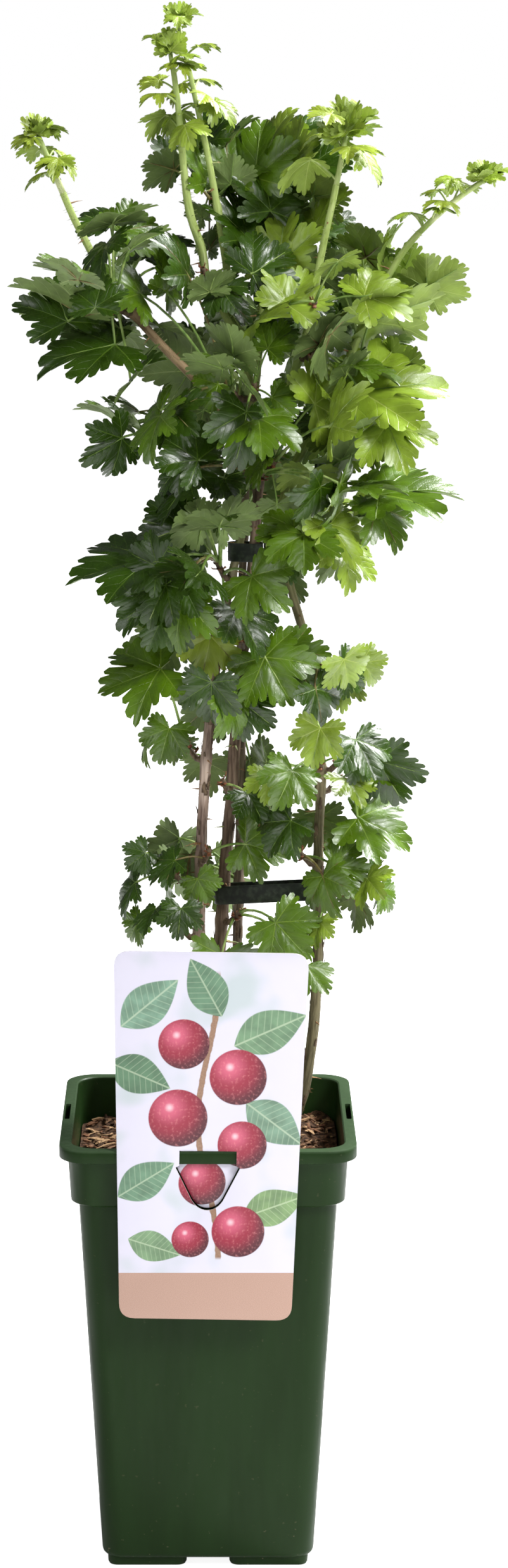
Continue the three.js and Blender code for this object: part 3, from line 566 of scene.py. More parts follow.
class Gather:
    """Many small shapes of one piece: corners, triangles, finishes, leaf places and sharp rims."""

    def __init__(self):
        self.shapes = []
        self.count = 0

    def add(self, corners, faces, finishes, places=None, sharp=None):
        """Joins one shape's arrays to the rest."""
        size = len(corners)
        self.shapes.append((
            corners, np.asarray(faces) + self.count, np.broadcast_to(finishes, len(faces)),
            np.zeros((size, 2)) if places is None else places,
            np.zeros(size, bool) if sharp is None else sharp,
        ))
        self.count += size

    def tube(self, points, radii, sides, finish, flat=1.0, side=None):
        """A closed round or flattened tube through points."""
        points = np.asarray(points, float)
        rings = []
        for i, point in enumerate(points):
            ahead = unit(points[min(i + 1, len(points) - 1)] - points[max(i - 1, 0)])
            if side is None:
                side = np.cross(UP if abs(ahead[2]) < 0.9 else np.array([1.0, 0, 0]), ahead)
            side = square_to(side, ahead)
            across = np.cross(ahead, side)
            turns = 2 * math.pi * np.arange(sides) / sides
            ring = np.outer(np.cos(turns), side) + np.outer(flat * np.sin(turns), across)
            rings.append(point + radii[i] * ring)
        last = (len(points) - 1) * sides
        here = np.arange(sides)
        after = (here + 1) % sides
        rows = np.arange(0, last, sides)[:, None]
        a, b = (rows + here).ravel(), (rows + after).ravel()
        foot, top = np.full(sides, last + sides), np.full(sides, last + sides + 1)
        faces = np.hstack([
            (a, b, b + sides), (a, b + sides, a + sides), (foot, after, here),
            (top, last + here, last + after),
        ]).T
        self.add(np.vstack(rings + [points[:1], points[-1:]]), faces, finish)

    def mesh(self, materials):
        """The joined mesh, in metres."""
        corners, faces, finishes, places, sharp = (np.concatenate(row) for row in zip(*self.shapes))
        mesh = bpy.data.meshes.new("joined")
        mesh.from_pydata(corners * MM, [], faces)
        mesh.polygons.foreach_set("material_index", finishes.astype(int))
        smooth(mesh)
        if sharp.any():
            ends = np.zeros(2 * len(mesh.edges), int)
            mesh.edges.foreach_get("vertices", ends)
            on_rim = sharp[ends].reshape(-1, 2).all(axis=1)
            mesh.attributes.new("sharp_edge", "BOOLEAN", "EDGE").data.foreach_set("value", on_rim)
            layer = mesh.uv_layers.new(name="blade")
            layer.data.foreach_set("uv", places[faces.ravel()].ravel())
        for material in materials:
            mesh.materials.append(material)
        return mesh


def piece(name, mesh, slot, *nodes):
    """A finished piece: it rides on the body, and stands for its solids where it has any."""
    mesh.name = name
    made = in_scene(name, mesh)
    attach(made, "root")
    if nodes:
        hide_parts(*nodes)


# ---- Blades ----
# One side of a blade's edge, from its tip to its foot: each round tooth's bearing off the
# midrib and its share of the length, then the bays between the lobes after a tooth.
LOBED_TEETH = (
    (0, 1), (9.5, 0.97), (19, 0.88), (33, 0.82), (42, 0.93), (51.5, 0.97), (61, 0.92),
    (71, 0.8), (86, 0.66), (96, 0.73), (107.5, 0.72), (120, 0.62), (132, 0.46), (145, 0.22),
)
LOBED_BAYS = {2: (26, 0.56), 7: (78.5, 0.5)}
YOUNG_TEETH = (
    (0, 1), (13, 0.93), (31, 0.84), (44, 0.95), (58, 0.84), (82, 0.66), (98, 0.7), (116, 0.52),
    (134, 0.3),
)
YOUNG_BAYS = {1: (22, 0.66), 4: (70, 0.58)}
LOBE_TURN = 52.0  # degrees between the main veins
BLADE_HALF = 0.16  # half of a blade's thickness
RING_SHARES = (0.8, 0.52, 0.26)
PLEAT = 0.115  # how high the blade arches between its main veins
TOOTH_DEPTHS = (0.085, 0.125)
STALK_STEPS = (0, 0.2, 0.4, 0.6, 0.8, 0.97)
MIDRIB_REACHES = (0.12, 0.4, 0.78)
MIDRIB_SINK = (-0.28, -0.36, -0.44)  # below the blade's middle
STALK_RADII = (1.15, 0.8, 0.72, 0.68, 0.66, 0.7, 0.5, 0.34, 0.14)  # stalk, then midrib
SIDE_RIB_RADII = (0.42, 0.28, 0.1)


def toothed_half(teeth, bays, roll):
    """One side of a blade's edge, four steps to a tooth: bearing, reach, and reach without teeth."""
    depth = roll(*TOOTH_DEPTHS)
    narrow, short = roll(0.97, 1.03), roll(0.94, 1.02)
    tops = []
    for i, (turn, reach) in enumerate(teeth):
        top_turn = turn * narrow + (roll(-1.2, 1.2) if i else 0)
        tops.append((top_turn, reach * roll(0.96, 1.03) * (short if turn > LOBE_TURN / 2 else 1)))
    rows = []
    for i in range(len(tops) - 1):
        (turn, reach), (next_turn, next_reach) = tops[i], tops[i + 1]
        low_turn, low = mix(turn, next_turn, 0.5), min(reach, next_reach) * (1 - depth)
        foot = 0.93 * min(reach, next_reach)
        if i in bays:
            low_turn, low = bays[i][0] + roll(-1.5, 1.5), bays[i][1] * roll(0.82, 1.16)
            foot = low
        full, next_full = 0.97 * reach, 0.97 * next_reach
        rows += [
            (turn, reach, full),
            (mix(turn, low_turn, 0.7), mix(reach, low, 0.22), mix(full, foot, 0.4)),
            (low_turn, low, foot),
            (mix(low_turn, next_turn, 0.3), mix(next_reach, low, 0.22), mix(next_full, foot, 0.4)),
        ]
    rows.append((*tops[-1], tops[-1][1]))
    return np.array(rows).T


def between(outer, inner):
    """Triangles from a ring to the next one in, which has as many corners or half of them."""
    step = 2 if len(outer) > len(inner) else 1
    faces = []
    for j in range(len(inner) - 1):
        a, b, c = outer[step * j], outer[step * j + 1], outer[step * (j + 1)]
        faces += [(a, b, inner[j]), (b, inner[j + 1], inner[j])]
        if step == 2:
            faces.append((b, c, inner[j + 1]))
    return faces


def blade_template(teeth, bays, seed):
    """A blade as one closed thin surface: bearings, reaches, side of each corner, and faces."""
    roll = dice(seed, 1, 1)
    left, right = toothed_half(teeth, bays, roll), toothed_half(teeth, bays, roll)
    turns, toothed, plain = (
        np.concatenate([a[:0:-1] * s, b]) for a, b, s in zip(left, right, (-1, 1, 1))
    )
    count = rim = len(turns)
    corners, faces, kinds, chains = [(turns, toothed, np.zeros(rim))], [], [], []
    for face in (1, -1):
        rings, new, step = [np.arange(rim)], [], 1
        for share in RING_SHARES:
            step = min(2 * step, 4)
            picked = np.arange(0, rim, step)
            rings.append(count + np.arange(len(picked)))
            count += len(picked)
            corners.append((turns[picked], plain[picked] * share, np.full(len(picked), face)))
            new += between(*rings[-2:])
        corners.append(([0.0], [0.0], [face]))
        new += [(rings[-1][j], rings[-1][j + 1], count) for j in range(len(rings[-1]) - 1)]
        chains.append([(ring[0], ring[-1]) for ring in rings] + [(count, count)])
        count += 1
        faces += [corner[::face] for corner in new]
        kinds += [face] * len(new)
    # The two faces meet along the open base of the blade.
    for end, turn in ((0, 1), (1, -1)):
        for i in range(len(chains[0]) - 1):
            a, b = chains[0][i][end], chains[0][i + 1][end]
            c, d = chains[1][i][end], chains[1][i + 1][end]
            for tri in ((a, b, d), (a, d, c)):
                if len(set(tri)) == 3:
                    faces.append(tri[::turn])
                    kinds.append(-1)
    all_turns, all_reaches, all_sides = (np.concatenate(row) for row in zip(*corners))
    return {
        "turns": all_turns * DEG, "reaches": all_reaches, "sides": all_sides,
        "faces": np.array(faces), "kinds": np.array(kinds), "rim": np.arange(count) < rim,
    }


def vein_share(turns):
    """0 on a main vein and 1 midway between two."""
    half = LOBE_TURN / 2
    return np.abs((np.abs(turns) / DEG + half) % LOBE_TURN - half) / half


def add_blade(gather, leaf, template, faces, roll):
    """One blade with its pleats, sunk veins, bent lobes and waved edge."""
    turns, reaches = template["turns"], template["reaches"]
    crumple = leaf.get("crumple", 1.0)
    pleat = crumple * PLEAT * (np.sin(vein_share(turns) * math.pi / 2) - 0.35) * reaches
    wave = crumple * roll(0.02, 0.06) * np.sin(3 * turns + roll(0, 6.28)) * reaches**2
    ruffle = crumple * 0.016 * np.sin(turns * 22 + roll(0, 6.28)) * reaches**6
    bend = np.zeros(len(turns))
    for lobe in (-2, -1, 0, 1, 2):
        near = np.exp(-((turns / DEG - lobe * LOBE_TURN) / 24) ** 2)
        bend += near * roll(-0.2, 0.6) * crumple
    bend *= np.clip(reaches - 0.4, 0, 1) ** 2
    thick = BLADE_HALF * template["sides"] * (1 + 0.8 * (1 - reaches))
    lift = leaf["length"] * (pleat + wave + ruffle - bend) + thick
    corners = blade_places(leaf, turns, reaches, lift)
    places = np.column_stack([reaches * np.cos(turns), reaches * np.sin(turns)])
    finishes = np.where(template["kinds"] > 0, *faces)
    gather.add(corners, template["faces"], finishes, places, template["rim"])


def add_petiole(gather, leaf, finish, thick=1.0):
    """A leaf's stalk, which runs on under its blade as the midrib, and the side veins' ribs."""
    root, base, bend = leaf["root"], leaf["base"], leaf["bend"]
    control = 2 * bend - (root + base) / 2
    stalk = [
        (1 - t) ** 2 * root + 2 * t * (1 - t) * control + t * t * base
        for t in STALK_STEPS
    ]
    rib = blade_places(leaf, np.zeros(3), np.array(MIDRIB_REACHES), np.array(MIDRIB_SINK))
    gather.tube(stalk + list(rib), np.array(STALK_RADII) * thick, 6, finish)
    if leaf["outline"] is OUTLINE:
        for turn in (-2, -1, 1, 2):
            turns = np.full(3, turn * LOBE_TURN * DEG)
            reaches = np.array([0.02, 0.34, 0.7 if abs(turn) == 1 else 0.58])
            side = blade_places(leaf, turns, reaches, np.array([-0.3, -0.35, -0.3]))
            gather.tube(side, np.array(SIDE_RIB_RADII) * thick, 3, finish)


# ---- Shader helpers ----
def put(tree, kind, links=None, **settings):
    """A node with its settings, and each named socket given a value or a link."""
    node = tree.nodes.new(kind)
    for key, value in settings.items():
        setattr(node, key, value)
    for key, value in (links or {}).items():
        if isinstance(value, bpy.types.NodeSocket):
            tree.links.new(value, node.inputs[key])
        elif value is not None:
            node.inputs[key].default_value = value
    return node


def calc(tree, operation, a, b=0.0):
    """One step of arithmetic."""
    return put(tree, "ShaderNodeMath", {0: a, 1: b}, operation=operation).outputs[0]


def times(tree, a, b):
    """One number times another."""
    return calc(tree, "MULTIPLY", a, b)


def vector_calc(tree, operation, *values):
    """One step with vectors, as a vector, or as a number for a length or a distance."""
    links = dict(enumerate(values))
    outputs = put(tree, "ShaderNodeVectorMath", links, operation=operation).outputs
    return outputs[int(operation in ("LENGTH", "DISTANCE"))]


def parts_of(tree, vector):
    """The X, Y and Z of a vector."""
    return put(tree, "ShaderNodeSeparateXYZ", {0: vector}).outputs


def blend(tree, factor, a, b):
    """One colour mixed with another."""
    return put(tree, "ShaderNodeMix", {0: factor, 6: a, 7: b}, data_type="RGBA").outputs[2]


def span(tree, value, low, high, to_low=0.0, to_high=1.0):
    """A number led softly from one range to another."""
    links = dict(enumerate((value, low, high, to_low, to_high)))
    return put(tree, "ShaderNodeMapRange", links, interpolation_type="SMOOTHSTEP").outputs[0]


def stretch(tree, vector, scale, turn=(0, 0, 0)):
    """A place scaled and turned."""
    links = {"Vector": vector, "Scale": scale, "Rotation": turn}
    return put(tree, "ShaderNodeMapping", links).outputs[0]


def place_of(tree):
    """The place on the object, in metres."""
    return put(tree, "ShaderNodeTexCoord").outputs["Object"]


def cloud(tree, vector, scale, detail=3.0, rough=0.55):
    """Soft noise."""
    links = {"Vector": vector, "Scale": scale, "Detail": detail, "Roughness": rough}
    return put(tree, "ShaderNodeTexNoise", links).outputs[0]


def colour(r, g, b):
    """A plain colour given as it looks on a screen, 0 to 255."""
    return tuple(
        (c / 3294.6 if c <= 10.31 else ((c / 255 + 0.055) / 1.055) ** 2.4) for c in (r, g, b)
    ) + (1.0,)


def new_group(name, inputs, outputs):
    """A node group with named sockets, its input node and its output node."""
    kinds = {"v": "NodeSocketVector", "c": "NodeSocketColor", "f": "NodeSocketFloat"}
    tree = bpy.data.node_groups.new(name, "ShaderNodeTree")
    for label, kind, value in inputs:
        socket = tree.interface.new_socket(name=label, in_out="INPUT", socket_type=kinds[kind])
        if value is not None:
            socket.default_value = value
    for label, kind in outputs:
        tree.interface.new_socket(name=label, in_out="OUTPUT", socket_type=kinds[kind])
    return tree, tree.nodes.new("NodeGroupInput").outputs, tree.nodes.new("NodeGroupOutput")


def grouped(tree, group, links):
    """The outputs of a node group."""
    return put(tree, "ShaderNodeGroup", links, node_tree=group).outputs


def grain_group():
    """Fine pits and soft clouds, for plastic and card."""
    tree, given, out = new_group(
        "surface grain", [("Vector", "v", None), ("Scale", "f", 900.0)],
        [("Pits", "f"), ("Clouds", "f")],
    )
    tree.links.new(cloud(tree, given[0], given[1], 2.0, 0.6), out.inputs[0])
    tree.links.new(cloud(tree, given[0], times(tree, given[1], 0.03), 4.0, 0.6), out.inputs[1])
    return tree


def streak_group():
    """Long streaks along a limb, as bark and fibre have."""
    tree, given, out = new_group(
        "long streaks", [("Vector", "v", None), ("Scale", "f", 500.0), ("Stretch", "f", 0.12)],
        [("Streaks", "f"), ("Patches", "f")],
    )
    shape = put(tree, "ShaderNodeCombineXYZ", {0: 1.0, 1: 1.0, 2: given[2]}).outputs[0]
    long = vector_calc(tree, "MULTIPLY", given[0], shape)
    tree.links.new(cloud(tree, long, given[1], 5.0, 0.65), out.inputs[0])
    tree.links.new(cloud(tree, long, times(tree, given[1], 0.28), 3.0, 0.5), out.inputs[1])
    return tree


def vein_group():
    """A blade's main and side veins, the domes between them and its fine net."""
    tree, given, out = new_group(
        "leaf veins", [("Vector", "v", None)],
        [("Main", "f"), ("Side", "f"), ("Domes", "f"), ("Net", "f")],
    )
    x, y, _ = parts_of(tree, given[0])
    angle = calc(tree, "ABSOLUTE", calc(tree, "ARCTAN2", y, x))
    turn = calc(tree, "PINGPONG", angle, LOBE_TURN / 2 * DEG)
    length = vector_calc(tree, "LENGTH", given[0])
    ahead = times(tree, length, calc(tree, "COSINE", turn))
    aside = times(tree, length, calc(tree, "SINE", turn))
    width = span(tree, length, 0.0, 1.0, 0.015, 0.005)
    main = span(tree, calc(tree, "DIVIDE", aside, width), 0.45, 1.0, 1.0, 0.0)
    rank = calc(tree, "SUBTRACT", ahead, times(tree, aside, 1.25))
    rank = calc(tree, "ADD", rank, times(tree, cloud(tree, given[0], 2.6, 2.0), 0.16))
    gap = calc(tree, "PINGPONG", rank, 0.085)
    side = times(tree, span(tree, gap, 0.001, 0.007, 1.0, 0.0), span(tree, rank, 0.14, 0.3))
    domes = calc(tree, "SQRT", times(tree, gap, 11.8))
    links = {"Vector": given[0], "Scale": 34.0}
    net = put(tree, "ShaderNodeTexVoronoi", links, feature="DISTANCE_TO_EDGE").outputs[0]
    for i, value in enumerate((main, side, domes, span(tree, net, 0.0, 0.09))):
        tree.links.new(value, out.inputs[i])
    return tree


def new_finish(name):
    """A new material and its empty node tree."""
    material = bpy.data.materials.new(name)
    material.use_nodes = True
    material.node_tree.nodes.clear()
    return material, material.node_tree


def finished(material, base, rough=0.5, normal=None, specular=0.5, coat=0.0, coat_rough=0.1):
    """The material with its Principled shader, whose sockets take linked or plain values."""
    tree = material.node_tree
    shader = put(tree, "ShaderNodeBsdfPrincipled", {
        "Base Color": base, "Roughness": rough, "Normal": normal,
        "Specular IOR Level": specular, "Coat Weight": coat, "Coat Roughness": coat_rough,
    })
    put(tree, "ShaderNodeOutputMaterial", {"Surface": shader.outputs[0]})
    return material


def bump(tree, height, strength, distance, normal=None):
    """Relief in millimetres, laid over an earlier relief where one is given."""
    links = {"Height": height, "Strength": strength, "Distance": distance * MM}
    return put(tree, "ShaderNodeBump", links | {"Normal": normal}).outputs[0]


# ---- Finishes ----
SCORCHED = colour(120, 84, 44)
GRAIN = grain_group()
STREAKS = streak_group()
VEINS = vein_group()
MAIN_VEINS = 0.65  # how strongly the paler veins show
SIDE_VEINS = 0.6 * MAIN_VEINS


def streaks_of(tree, scale, long, place=None):
    """Fine streaks and slower patches."""
    links = {"Vector": place or place_of(tree), "Scale": scale, "Stretch": long}
    return grouped(tree, STREAKS, links)


def leaf_finish(name, base, vein, rough, ridge, wax=0.0):
    """A blade's face: a plain tone, paler veins, low domes between them and a soft gloss."""
    made, tree = new_finish(name)
    place, base = place_of(tree), colour(*base)
    blade = put(tree, "ShaderNodeUVMap", uv_map="blade").outputs[0]
    main, side, domes, net = grouped(tree, VEINS, {"Vector": blade})
    dark = tuple(0.74 * c for c in base[:3]) + (1.0,)
    light = tuple(min(1.0, 1.3 * c) for c in base[:3]) + (1.0,)
    tone = blend(tree, span(tree, cloud(tree, place, 70.0, 3.0), 0.3, 0.7), dark, light)
    tone = blend(tree, times(tree, net, 0.16), tone, light)
    shown = calc(tree, "MAXIMUM", times(tree, main, MAIN_VEINS), times(tree, side, SIDE_VEINS))
    tone = blend(tree, shown, tone, colour(*vein))
    scorch = span(tree, cloud(tree, place, 62.0, 4.0, 0.7), 0.72, 0.75)
    tone = blend(tree, times(tree, scorch, 0.7), tone, SCORCHED)
    gloss = span(tree, cloud(tree, place, 120.0, 3.0), 0.3, 0.7, rough - 0.06, rough + 0.1)
    dip = calc(tree, "MAXIMUM", main, times(tree, side, 0.5))
    height = calc(tree, "SUBTRACT", times(tree, domes, 0.5), dip)
    relief = bump(tree, net, 0.4 * ridge, 0.15, bump(tree, height, ridge, 0.5))
    return finished(made, tone, gloss, relief, coat=wax, coat_rough=0.3)


def bark_finish(name, dark, mid, pale, patches, green=None):
    """Bark in long papery streaks, with pale peeling patches, and green wood from a height."""
    made, tree = new_finish(name)
    grain = put(tree, "ShaderNodeAttribute", attribute_name="grain").outputs["Vector"]
    streaks, slow = streaks_of(tree, 620.0, 0.1, grain)
    tone = blend(tree, span(tree, streaks, 0.36, 0.62), colour(*dark), colour(*mid))
    tone = blend(tree, span(tree, slow, patches, patches + 0.14), tone, colour(*pale))
    if green:
        height = parts_of(tree, place_of(tree))[2]
        edge = calc(tree, "ADD", height, times(tree, slow, 0.03))
        tone = blend(tree, span(tree, edge, *green[1:]), tone, colour(*green[0]))
    gloss = span(tree, streaks, 0.3, 0.7, 0.85, 0.55)
    first = bump(tree, streaks, 0.8, 0.5)
    relief = bump(tree, span(tree, slow, patches, patches + 0.06), 0.5, 0.3, first)
    return finished(made, tone, gloss, relief, specular=0.3)


def shoot_finish(name, base, dark, pale):
    """Young green wood and stalks, faintly ribbed."""
    made, tree = new_finish(name)
    streaks, slow = streaks_of(tree, 420.0, 0.2)
    tone = blend(tree, span(tree, streaks, 0.35, 0.65), colour(*dark), colour(*base))
    tone = blend(tree, span(tree, slow, 0.5, 0.66), tone, colour(*pale))
    return finished(made, tone, 0.45, bump(tree, streaks, 0.35, 0.25), specular=0.4)


def dry_finish(name, light, dark, scale=700.0, long=0.4, rough=0.65, depth=0.3, specular=0.3):
    """Dry brown skin in small streaks, for spurs, scales, spines and chips of bark."""
    made, tree = new_finish(name)
    streaks = streaks_of(tree, scale, long)[0]
    tone = blend(tree, span(tree, streaks, 0.36, 0.64), colour(*dark), colour(*light))
    return finished(made, tone, rough, bump(tree, streaks, 0.6, depth), specular=specular)


# A blade's faces from deep green to the lime of young leaves: name of the finish, its tone,
# its veins, roughness, depth of the veins, and wax on the upper faces.
LEAF_FACES = {
    "deep": ("leaf_deep_green", (44, 70, 6), (96, 126, 38), 0.25, 0.5, 0.3),
    "mid": ("leaf_mid_green", (78, 108, 14), (130, 158, 52), 0.27, 0.5, 0.4),
    "bright": ("leaf_bright_green", (128, 153, 44), (178, 196, 94), 0.3, 0.45, 0.35),
    "lime": ("leaf_lime_green", (142, 162, 48), (188, 200, 98), 0.35, 0.4, 0.2),
    "young": ("leaf_young_green", (136, 160, 48), (192, 208, 110), 0.4, 0.5),
    "under": ("leaf_underside", (98, 118, 60), (150, 166, 104), 0.62, 0.3),
    "under_lime": ("leaf_underside_lime", (126, 148, 58), (174, 192, 102), 0.6, 0.3),
    "under_young": ("leaf_underside_young", (140, 162, 66), (188, 204, 112), 0.6, 0.3),
}
LEAF_ORDER = tuple(LEAF_FACES)
UNDERSIDE = {"deep": "under", "mid": "under", "bright": "under_lime", "lime": "under_lime",
             "young": "under_young"}
GREEN_STALK, BLUSHED_STALK, SPUR_BARK, BUD_SCALE, SPINE_TAN, BRISTLE_GREEN, TIP_GREEN = range(7)


def make_twig_finishes():
    """Finishes of stalks, spurs, scales, spines, bristles and shoot tips, in that order."""
    return [
        shoot_finish("stalk_green", (132, 160, 76), (98, 128, 56), (168, 188, 112)),
        shoot_finish("stalk_blushed", (128, 122, 66), (108, 84, 58), (150, 148, 92)),
        dry_finish("spur_bark", (116, 98, 76), (74, 58, 44)),
        dry_finish("bud_scale", (148, 96, 62), (92, 52, 34)),
        dry_finish("spine_tan", (176, 140, 96), (120, 84, 56)),
        shoot_finish("bristle_green", (176, 188, 124), (140, 150, 90), (196, 204, 150)),
        shoot_finish("tip_green", (172, 190, 114), (150, 170, 92), (204, 212, 156)),
    ]


def facing_pair(tone):
    """The places of a tone and of its underside among the leaf finishes."""
    return LEAF_ORDER.index(tone), LEAF_ORDER.index(UNDERSIDE[tone])


# ---- The plant ----
ZONES = {
    "left": ("stem_left",),
    "centre": ("stem_centre",),
    "right": ("stem_right",),
    "back": ("stem_back",),
    "shoots": ("shoot_left", "shoot_mid_right", "shoot_far_right", "shoot_tall_right"),
}
# Shares of deep and of mid leaves by height above the pot's underside; the rest are bright.
DEEP_SHARE = ((300, 0.3), (420, 0.34), (540, 0.5), (640, 0.54), (720, 0.4))
MID_SHARE = ((300, 0.55), (420, 0.5), (540, 0.38), (640, 0.34), (720, 0.45))
BRIGHT_TO = 0.97  # a draw above this gives a lime leaf
# Painted light and shade: leaves turn brighter towards +X, as if lit from that side, and deeper towards
# -X, as if in shade.
PAINTED_LIGHT_SIDE = (40, 90)  # from where to where across the bush leaves turn brighter
PAINTED_SHADE_SIDE = (20, -30)
PAINTED_LIGHT_LEVEL = ((380, 0.35), (480, 1))  # how far that goes, by height


def share_between(ends, value):
    """How far a value lies from one end to the other, as a share."""
    return clamp((value - ends[0]) / (ends[1] - ends[0]))


def tone_of(place, roll):
    """A leaf's tone, dealt out by height, with painted light and shade: brighter towards +X and deeper
    towards -X.
    """
    painted_light = share_between(PAINTED_LIGHT_SIDE, place[0]) * ramp(PAINTED_LIGHT_LEVEL, place[2])
    painted_shade = share_between(PAINTED_SHADE_SIDE, place[0])
    # Painted light and shade: fewer deep leaves on the lit side, more on the shaded side.
    deep = ramp(DEEP_SHARE, place[2]) * (1 - 0.85 * painted_light + 0.4 * painted_shade)
    mid = ramp(MID_SHARE, place[2]) * (1 - 0.35 * painted_light)
    draw = roll(0, 1)
    if draw < deep:
        return "deep"
    if draw < deep + mid:
        return "mid"
    return "bright" if draw < BRIGHT_TO else "lime"


FINER = ((460, 0), (540, 2), (640, 4))  # finer leaves wanted in each mass, by height
FINER_TRIES = 10
CLEAR_OF_WOOD = 3.5
COURSE_STEPS = 60
NEIGHBOURS = 0.9  # blades nearer than this share of their joint length are tested
OPEN_TOP = 480
OPEN_BACK = 14
OPEN_SIDE = -14
OPEN_SHARE = 0.5
OPEN_SIZES = (0.68, 1.08)
# Where the stems show between the leaves: from and to across, and from and to in height.
STEM_VIEWS = ((-16, 24, 384, 446), (42, 60, 372, 440), (-12, 26, 312, 372), (44, 66, 236, 300))
VIEW_SHARE = 0.75
BARE_SHARE = 0.75
SPRAY_FROM = 30  # a blade longer than this gives its place to a spray
SPRAY = ((0, 0.26, 0.78), (-66, 0.18, 0.7), (66, 0.18, 0.7))  # turn, way out, size
SPRAY_TRIES = 8


class Crown:
    """The blades that stand so far, so that a further one finds a free place."""

    def __init__(self):
        shares = np.linspace(0, 1, COURSE_STEPS)
        self.courses = [np.array([along(l["course"], t) for t in shares]) for l in LIMBS.values()]
        self.stands = []

    @staticmethod
    def outlined(leaf):
        """A blade's middle, length and plain outline."""
        middle = leaf["base"] + leaf["rib"] * 0.35 * leaf["length"]
        rim = blade_rim(leaf)
        corners = [Vector(p) for p in np.vstack([leaf["base"], rim])]
        fan = [(0, i, i + 1) for i in range(1, len(rim))]
        return middle, leaf["length"], BVHTree.FromPolygons(corners, fan)

    def add(self, leaf):
        """Lets a blade stand."""
        self.stands.append(self.outlined(leaf))

    def is_free(self, leaf):
        """Whether a blade keeps clear of all wood and passes through no other blade."""
        rim = blade_rim(leaf)[:, None]
        if any(np.linalg.norm(rim - course, axis=2).min() < CLEAR_OF_WOOD for course in self.courses):
            return False
        middle, length, mine = self.outlined(leaf)
        return not any(
            np.linalg.norm(middle - other) < NEIGHBOURS * (other_length + length)
            and mine.overlap(tree)
            for other, other_length, tree in self.stands
        )


def posed(leaf, rib, lean, **changes):
    """A leaf with another midrib, and with its upper face turned nearest to a given way."""
    upper = square_to(lean, rib)
    return dict(leaf, rib=rib, upper=upper, across=np.cross(upper, rib), **changes)


def loosened(leaf, roll):
    """A leaf turned a little out of its solid's plane, and on the lower stems a little smaller."""
    tilt, lean = roll(-42, 30), roll(-0.7, 0.7)
    rib = swung(leaf["rib"], leaf["upper"], tilt)
    size = roll(0.9, 1.05) if leaf["base"][2] > OPEN_TOP else roll(*OPEN_SIZES)
    return posed(leaf, rib, leaf["upper"] + leaf["across"] * lean, length=size * leaf["length"])


def is_thinned(leaf, roll):
    """Whether a leaf is left out, for the sky behind the low stems or the view of a shoot."""
    draw = roll(0, 1)
    across, back, height = leaf["base"]
    if back > OPEN_BACK and across > OPEN_SIDE and height < OPEN_TOP:
        return draw < OPEN_SHARE
    middle = leaf["base"] + 0.4 * leaf["length"] * leaf["rib"]
    for left, right, low, high in STEM_VIEWS:
        if left < middle[0] < right and low < middle[2] < high:
            return draw < VIEW_SHARE
    for name in ZONES["shoots"]:
        if LIMBS[name]["low"] < middle[2] < LIMBS[name]["high"]:
            at = on_limb(name, middle[2])[0]
            if middle[1] < at[1] and abs(middle[0] - at[0]) < 0.6 * leaf["length"]:
                return draw < BARE_SHARE
    return False


def spray_of(leaf, crown, roll):
    """A large blade's place taken by smaller ones on stalks of their own, tilted every way."""
    if leaf["length"] < SPRAY_FROM:
        return [leaf]
    made = []
    root = leaf["root"]
    for turn, out, size in SPRAY:
        for attempt in range(SPRAY_TRIES):
            flat = swung(leaf["rib"], leaf["across"], turn + roll(-14, 14))
            rib = unit(swung(flat, leaf["upper"], roll(-48, 34)))
            lean = leaf["upper"] + leaf["across"] * roll(-0.8, 0.8)
            length = leaf["length"] * size * roll(0.88, 1.06)
            base = leaf["base"] + flat * out * leaf["length"] + leaf["upper"] * roll(-7, 7)
            bend = arch(root, base, 0.1 * np.linalg.norm(base - root))
            part = posed(leaf, rib, lean, base=base, bend=bend, length=length)
            if crown.is_free(part) or (not turn and attempt == SPRAY_TRIES - 1):
                made.append(part)
                crown.add(part)
                break
    return made


def finer_leaves(mass, crown, wanted):
    """Smaller leaves that fill a mass inside the same space, by the same rule."""
    made = []
    for number in range(mass["leaves"], mass["leaves"] + wanted):
        for attempt in range(FINER_TRIES):
            roll = dice(mass["seed"] + 311, number, attempt)
            reach, blade = mass["reach"] * roll(0.4, 0.95), mass["blade"] * roll(0.5, 0.8)
            slim = dict(mass, reach=reach, blade=blade, bearing=mass["bearing"] + roll(-70, 70))
            place = int(roll(0, mass["leaves"]))
            leaf = mass_leaf(slim, place, 40 + 10 * number + attempt % 3)
            inside = np.linalg.norm(blade_rim(leaf) - mass["centre"], axis=1).max() < mass["space"]
            if inside and crown.is_free(leaf):
                made.append(leaf)
                crown.add(leaf)
                break
    return made


def outer_leaf(row, mass):
    """A blade that reaches out of its mass on a long stalk."""
    base, bearing, pitch, turn, length, tone = row
    root, base = mass["spur_tip"], np.array(base, float)
    leaf = stalked(root, base, 0.1 * np.linalg.norm(base - root), length, OUTLINE, 0.12, 0.12)
    return leaf_frame(leaf | {"tone": tone}, bearing, pitch, turn, 0)


SPUR_RADII = (2.1, 1.95, 1.6, 1.5, 1.35)
BUD_SCALES = 9
SCALE_RADII = (0.9, 1.15, 0.2)
SCALE_FLAT = 0.28
SPINE_RADII = (1.5, 1.1, 0.6, 0.1)
SPINE_THICK = 0.42
BRISTLE_RADII = (0.16, 0.04)
FLAKES = 46  # on each stem
FLAKE_RADII = (0.9, 1, 0.8, 0.3)
FLAKE_FLAT = 0.14
SHORT_STALK = 20  # a blade shorter than this has a thinner stalk


